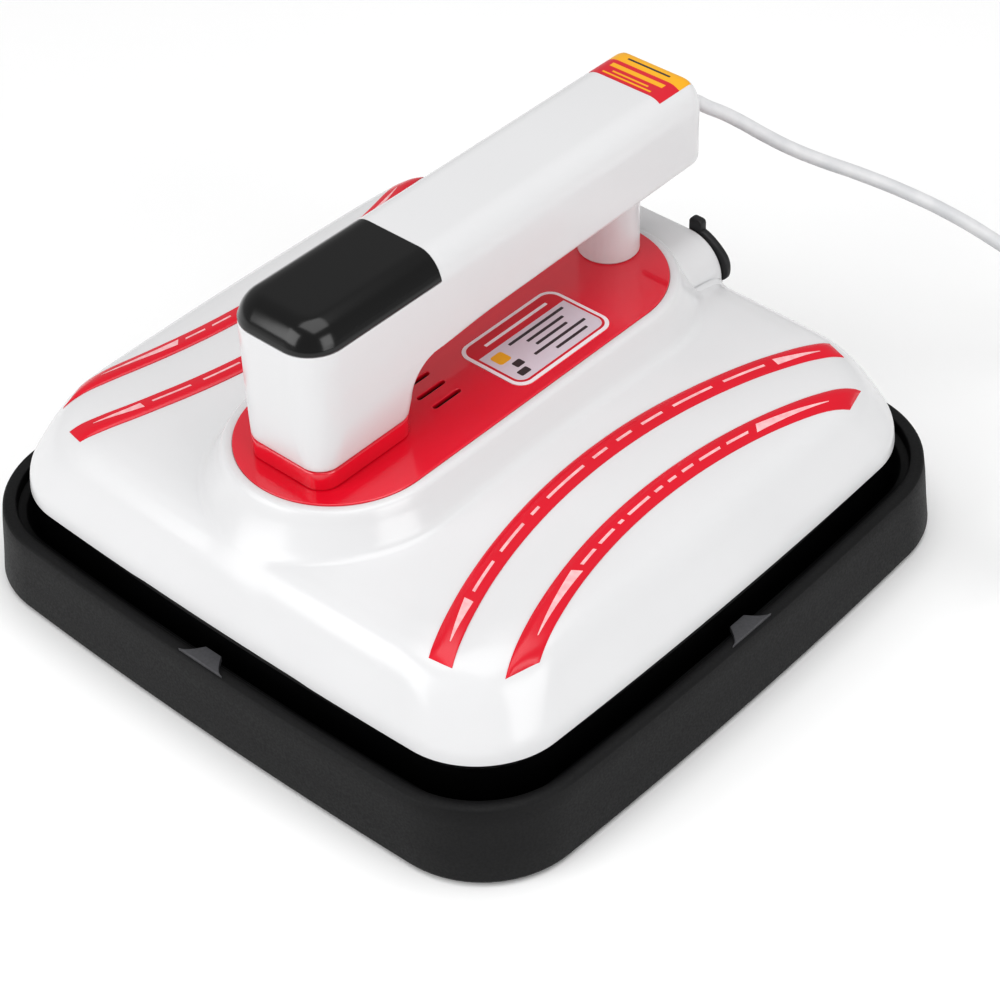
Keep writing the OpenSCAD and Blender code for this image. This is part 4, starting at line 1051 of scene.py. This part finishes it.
finishes = {
    "tray_heat_pad": dullPart("silicone", "#7c2f22", "#70291d", 2.0, 0.5, 0.62, 0.03, 1.41),
    "tray_feet": rubber,
    "heating_plate": dullPart("coatedCastAluminium", "#45464a", "#3c3d41", 1.6, 0.36, 0.5, Metallic=0.6),
    "heating_element_outer": metal("heatTintedSteel", "#8a7c69", "#75685c", 4, 0.3, 0.45),
    "insulation_blanket": dullPart("glassFibreFelt", "#e6e0cc", "#dad3bd", 0.8, 0.85, 0.95, 0.15),
    "heat_shield": metal("aluminisedSheet", "#c3c5c7", "#b4b6b9", 6, 0.28, 0.42),
    "plate_standoffs": metal("zincPlatedSteel", "#a7a9ab", "#97999c", 2, 0.3, 0.45),
    "thermal_cutout": dullPart("phenolicMoulding", "#242322", "#1d1c1c", 2, 0.35, 0.5, 0.02, 1.6),
    "temperature_probe": dullPart("sleevedProbe", "#dcdcd8", "#cfcfca", 1, 0.4, 0.55, 0.02),
    "terminal_block": dullPart("nylonBlock", "#ddd6c2", "#d3ccb7", 2, 0.4, 0.5, 0.02, 1.53),
    "power_board": dullPart("boardLaminate", "#2c6a3d", "#255e35", 3, 0.3, 0.45, 0.01, 1.55),
    "power_relay": dullPart("relayCase", "#2148a0", "#1c3f90", 3, 0.18, 0.26, 0.01, 1.52),
    "mains_fuse": dullPart("glassFuse", "#cfd6d8", "#c4cccf", 3, 0.08, 0.14, 0.005),
    "touch_springs": metal("springBrass", "#c9a45c", "#b9944d", 1, 0.25, 0.4),
    "display_ribbon": dullPart("ribbonPvc", "#96969c", "#8a8a90", 1.3, 0.4, 0.5, 0.03, 1.53),
    "rocker_housing": glossAbs("switchBody", "#131314", "#0d0d0e", 0.28, 0.36),
    "power_rocker": glossAbs("rockerCap", "#c3142a", "#b80f24", 0.18, 0.26),
    "mains_lead": pvc,
}
for source, others in (("heating_element_outer", ["heating_element_inner"]), ("power_board", ["display_board"]),
                       ("plate_standoffs", ["plate_screws", "shield_screws", "cover_screws", "handle_bolts",
                                            "handle_nuts"]),
                       ("thermal_cutout", ["display_module", "buzzer", "cord_clamp"])):
    finishes.update(dict.fromkeys(others, finishes[source]))
for name, material in finishes.items():
    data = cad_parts[name].data
    data.materials.clear()
    data.materials.append(material)
print("carried-over parts finished")

# Floor and light

stageValues = {"floor": "#fbfbfb", "size": 8, "world": 0.42}


def makeFloor(v):
    half = v["size"] / 2
    corners = [(-half, -half, 0), (half, -half, 0), (half, half, 0), (-half, half, 0)]
    floor = meshFrom("floor", corners, [(0, 1, 2, 3)])
    floor.data.materials.append(newMaterial("palePaper", v["floor"], Roughness=0.9)[0])


def makeWorld(v):
    world = bpy.data.worlds.new("studio")
    scene.world = world
    world.use_nodes = True
    sky = world.node_tree.nodes["Background"]
    sky.inputs["Color"].default_value = toLinear("#ffffff")
    sky.inputs["Strength"].default_value = v["world"]


lightValues = [  # name, place, size, power
    ("topSoftbox", (0.2, 0.0, 1.6), 1.4, 11),
    ("frontSoftbox", (-0.5, -1.4, 0.8), 1.1, 9.5),
    ("rightSoftbox", (1.5, -0.1, 0.6), 0.9, 6)]


def makeLights(lights):
    for name, at, size, power in lights:
        data = bpy.data.lights.new(name, "AREA")
        data.shape = "SQUARE"
        data.size = size
        data.energy = power
        lamp = addObject(name, data)
        lamp.location = at
        lamp.rotation_euler = (Vector((0, 0, 0.06)) - Vector(at)).to_track_quat("-Z", "Y").to_euler()


makeFloor(stageValues)
makeWorld(stageValues)
makeLights(lightValues)
scene.view_settings.view_transform = "Standard"
scene.view_settings.look = "Medium High Contrast"
print("stage made")

bpy.context.view_layer.update()
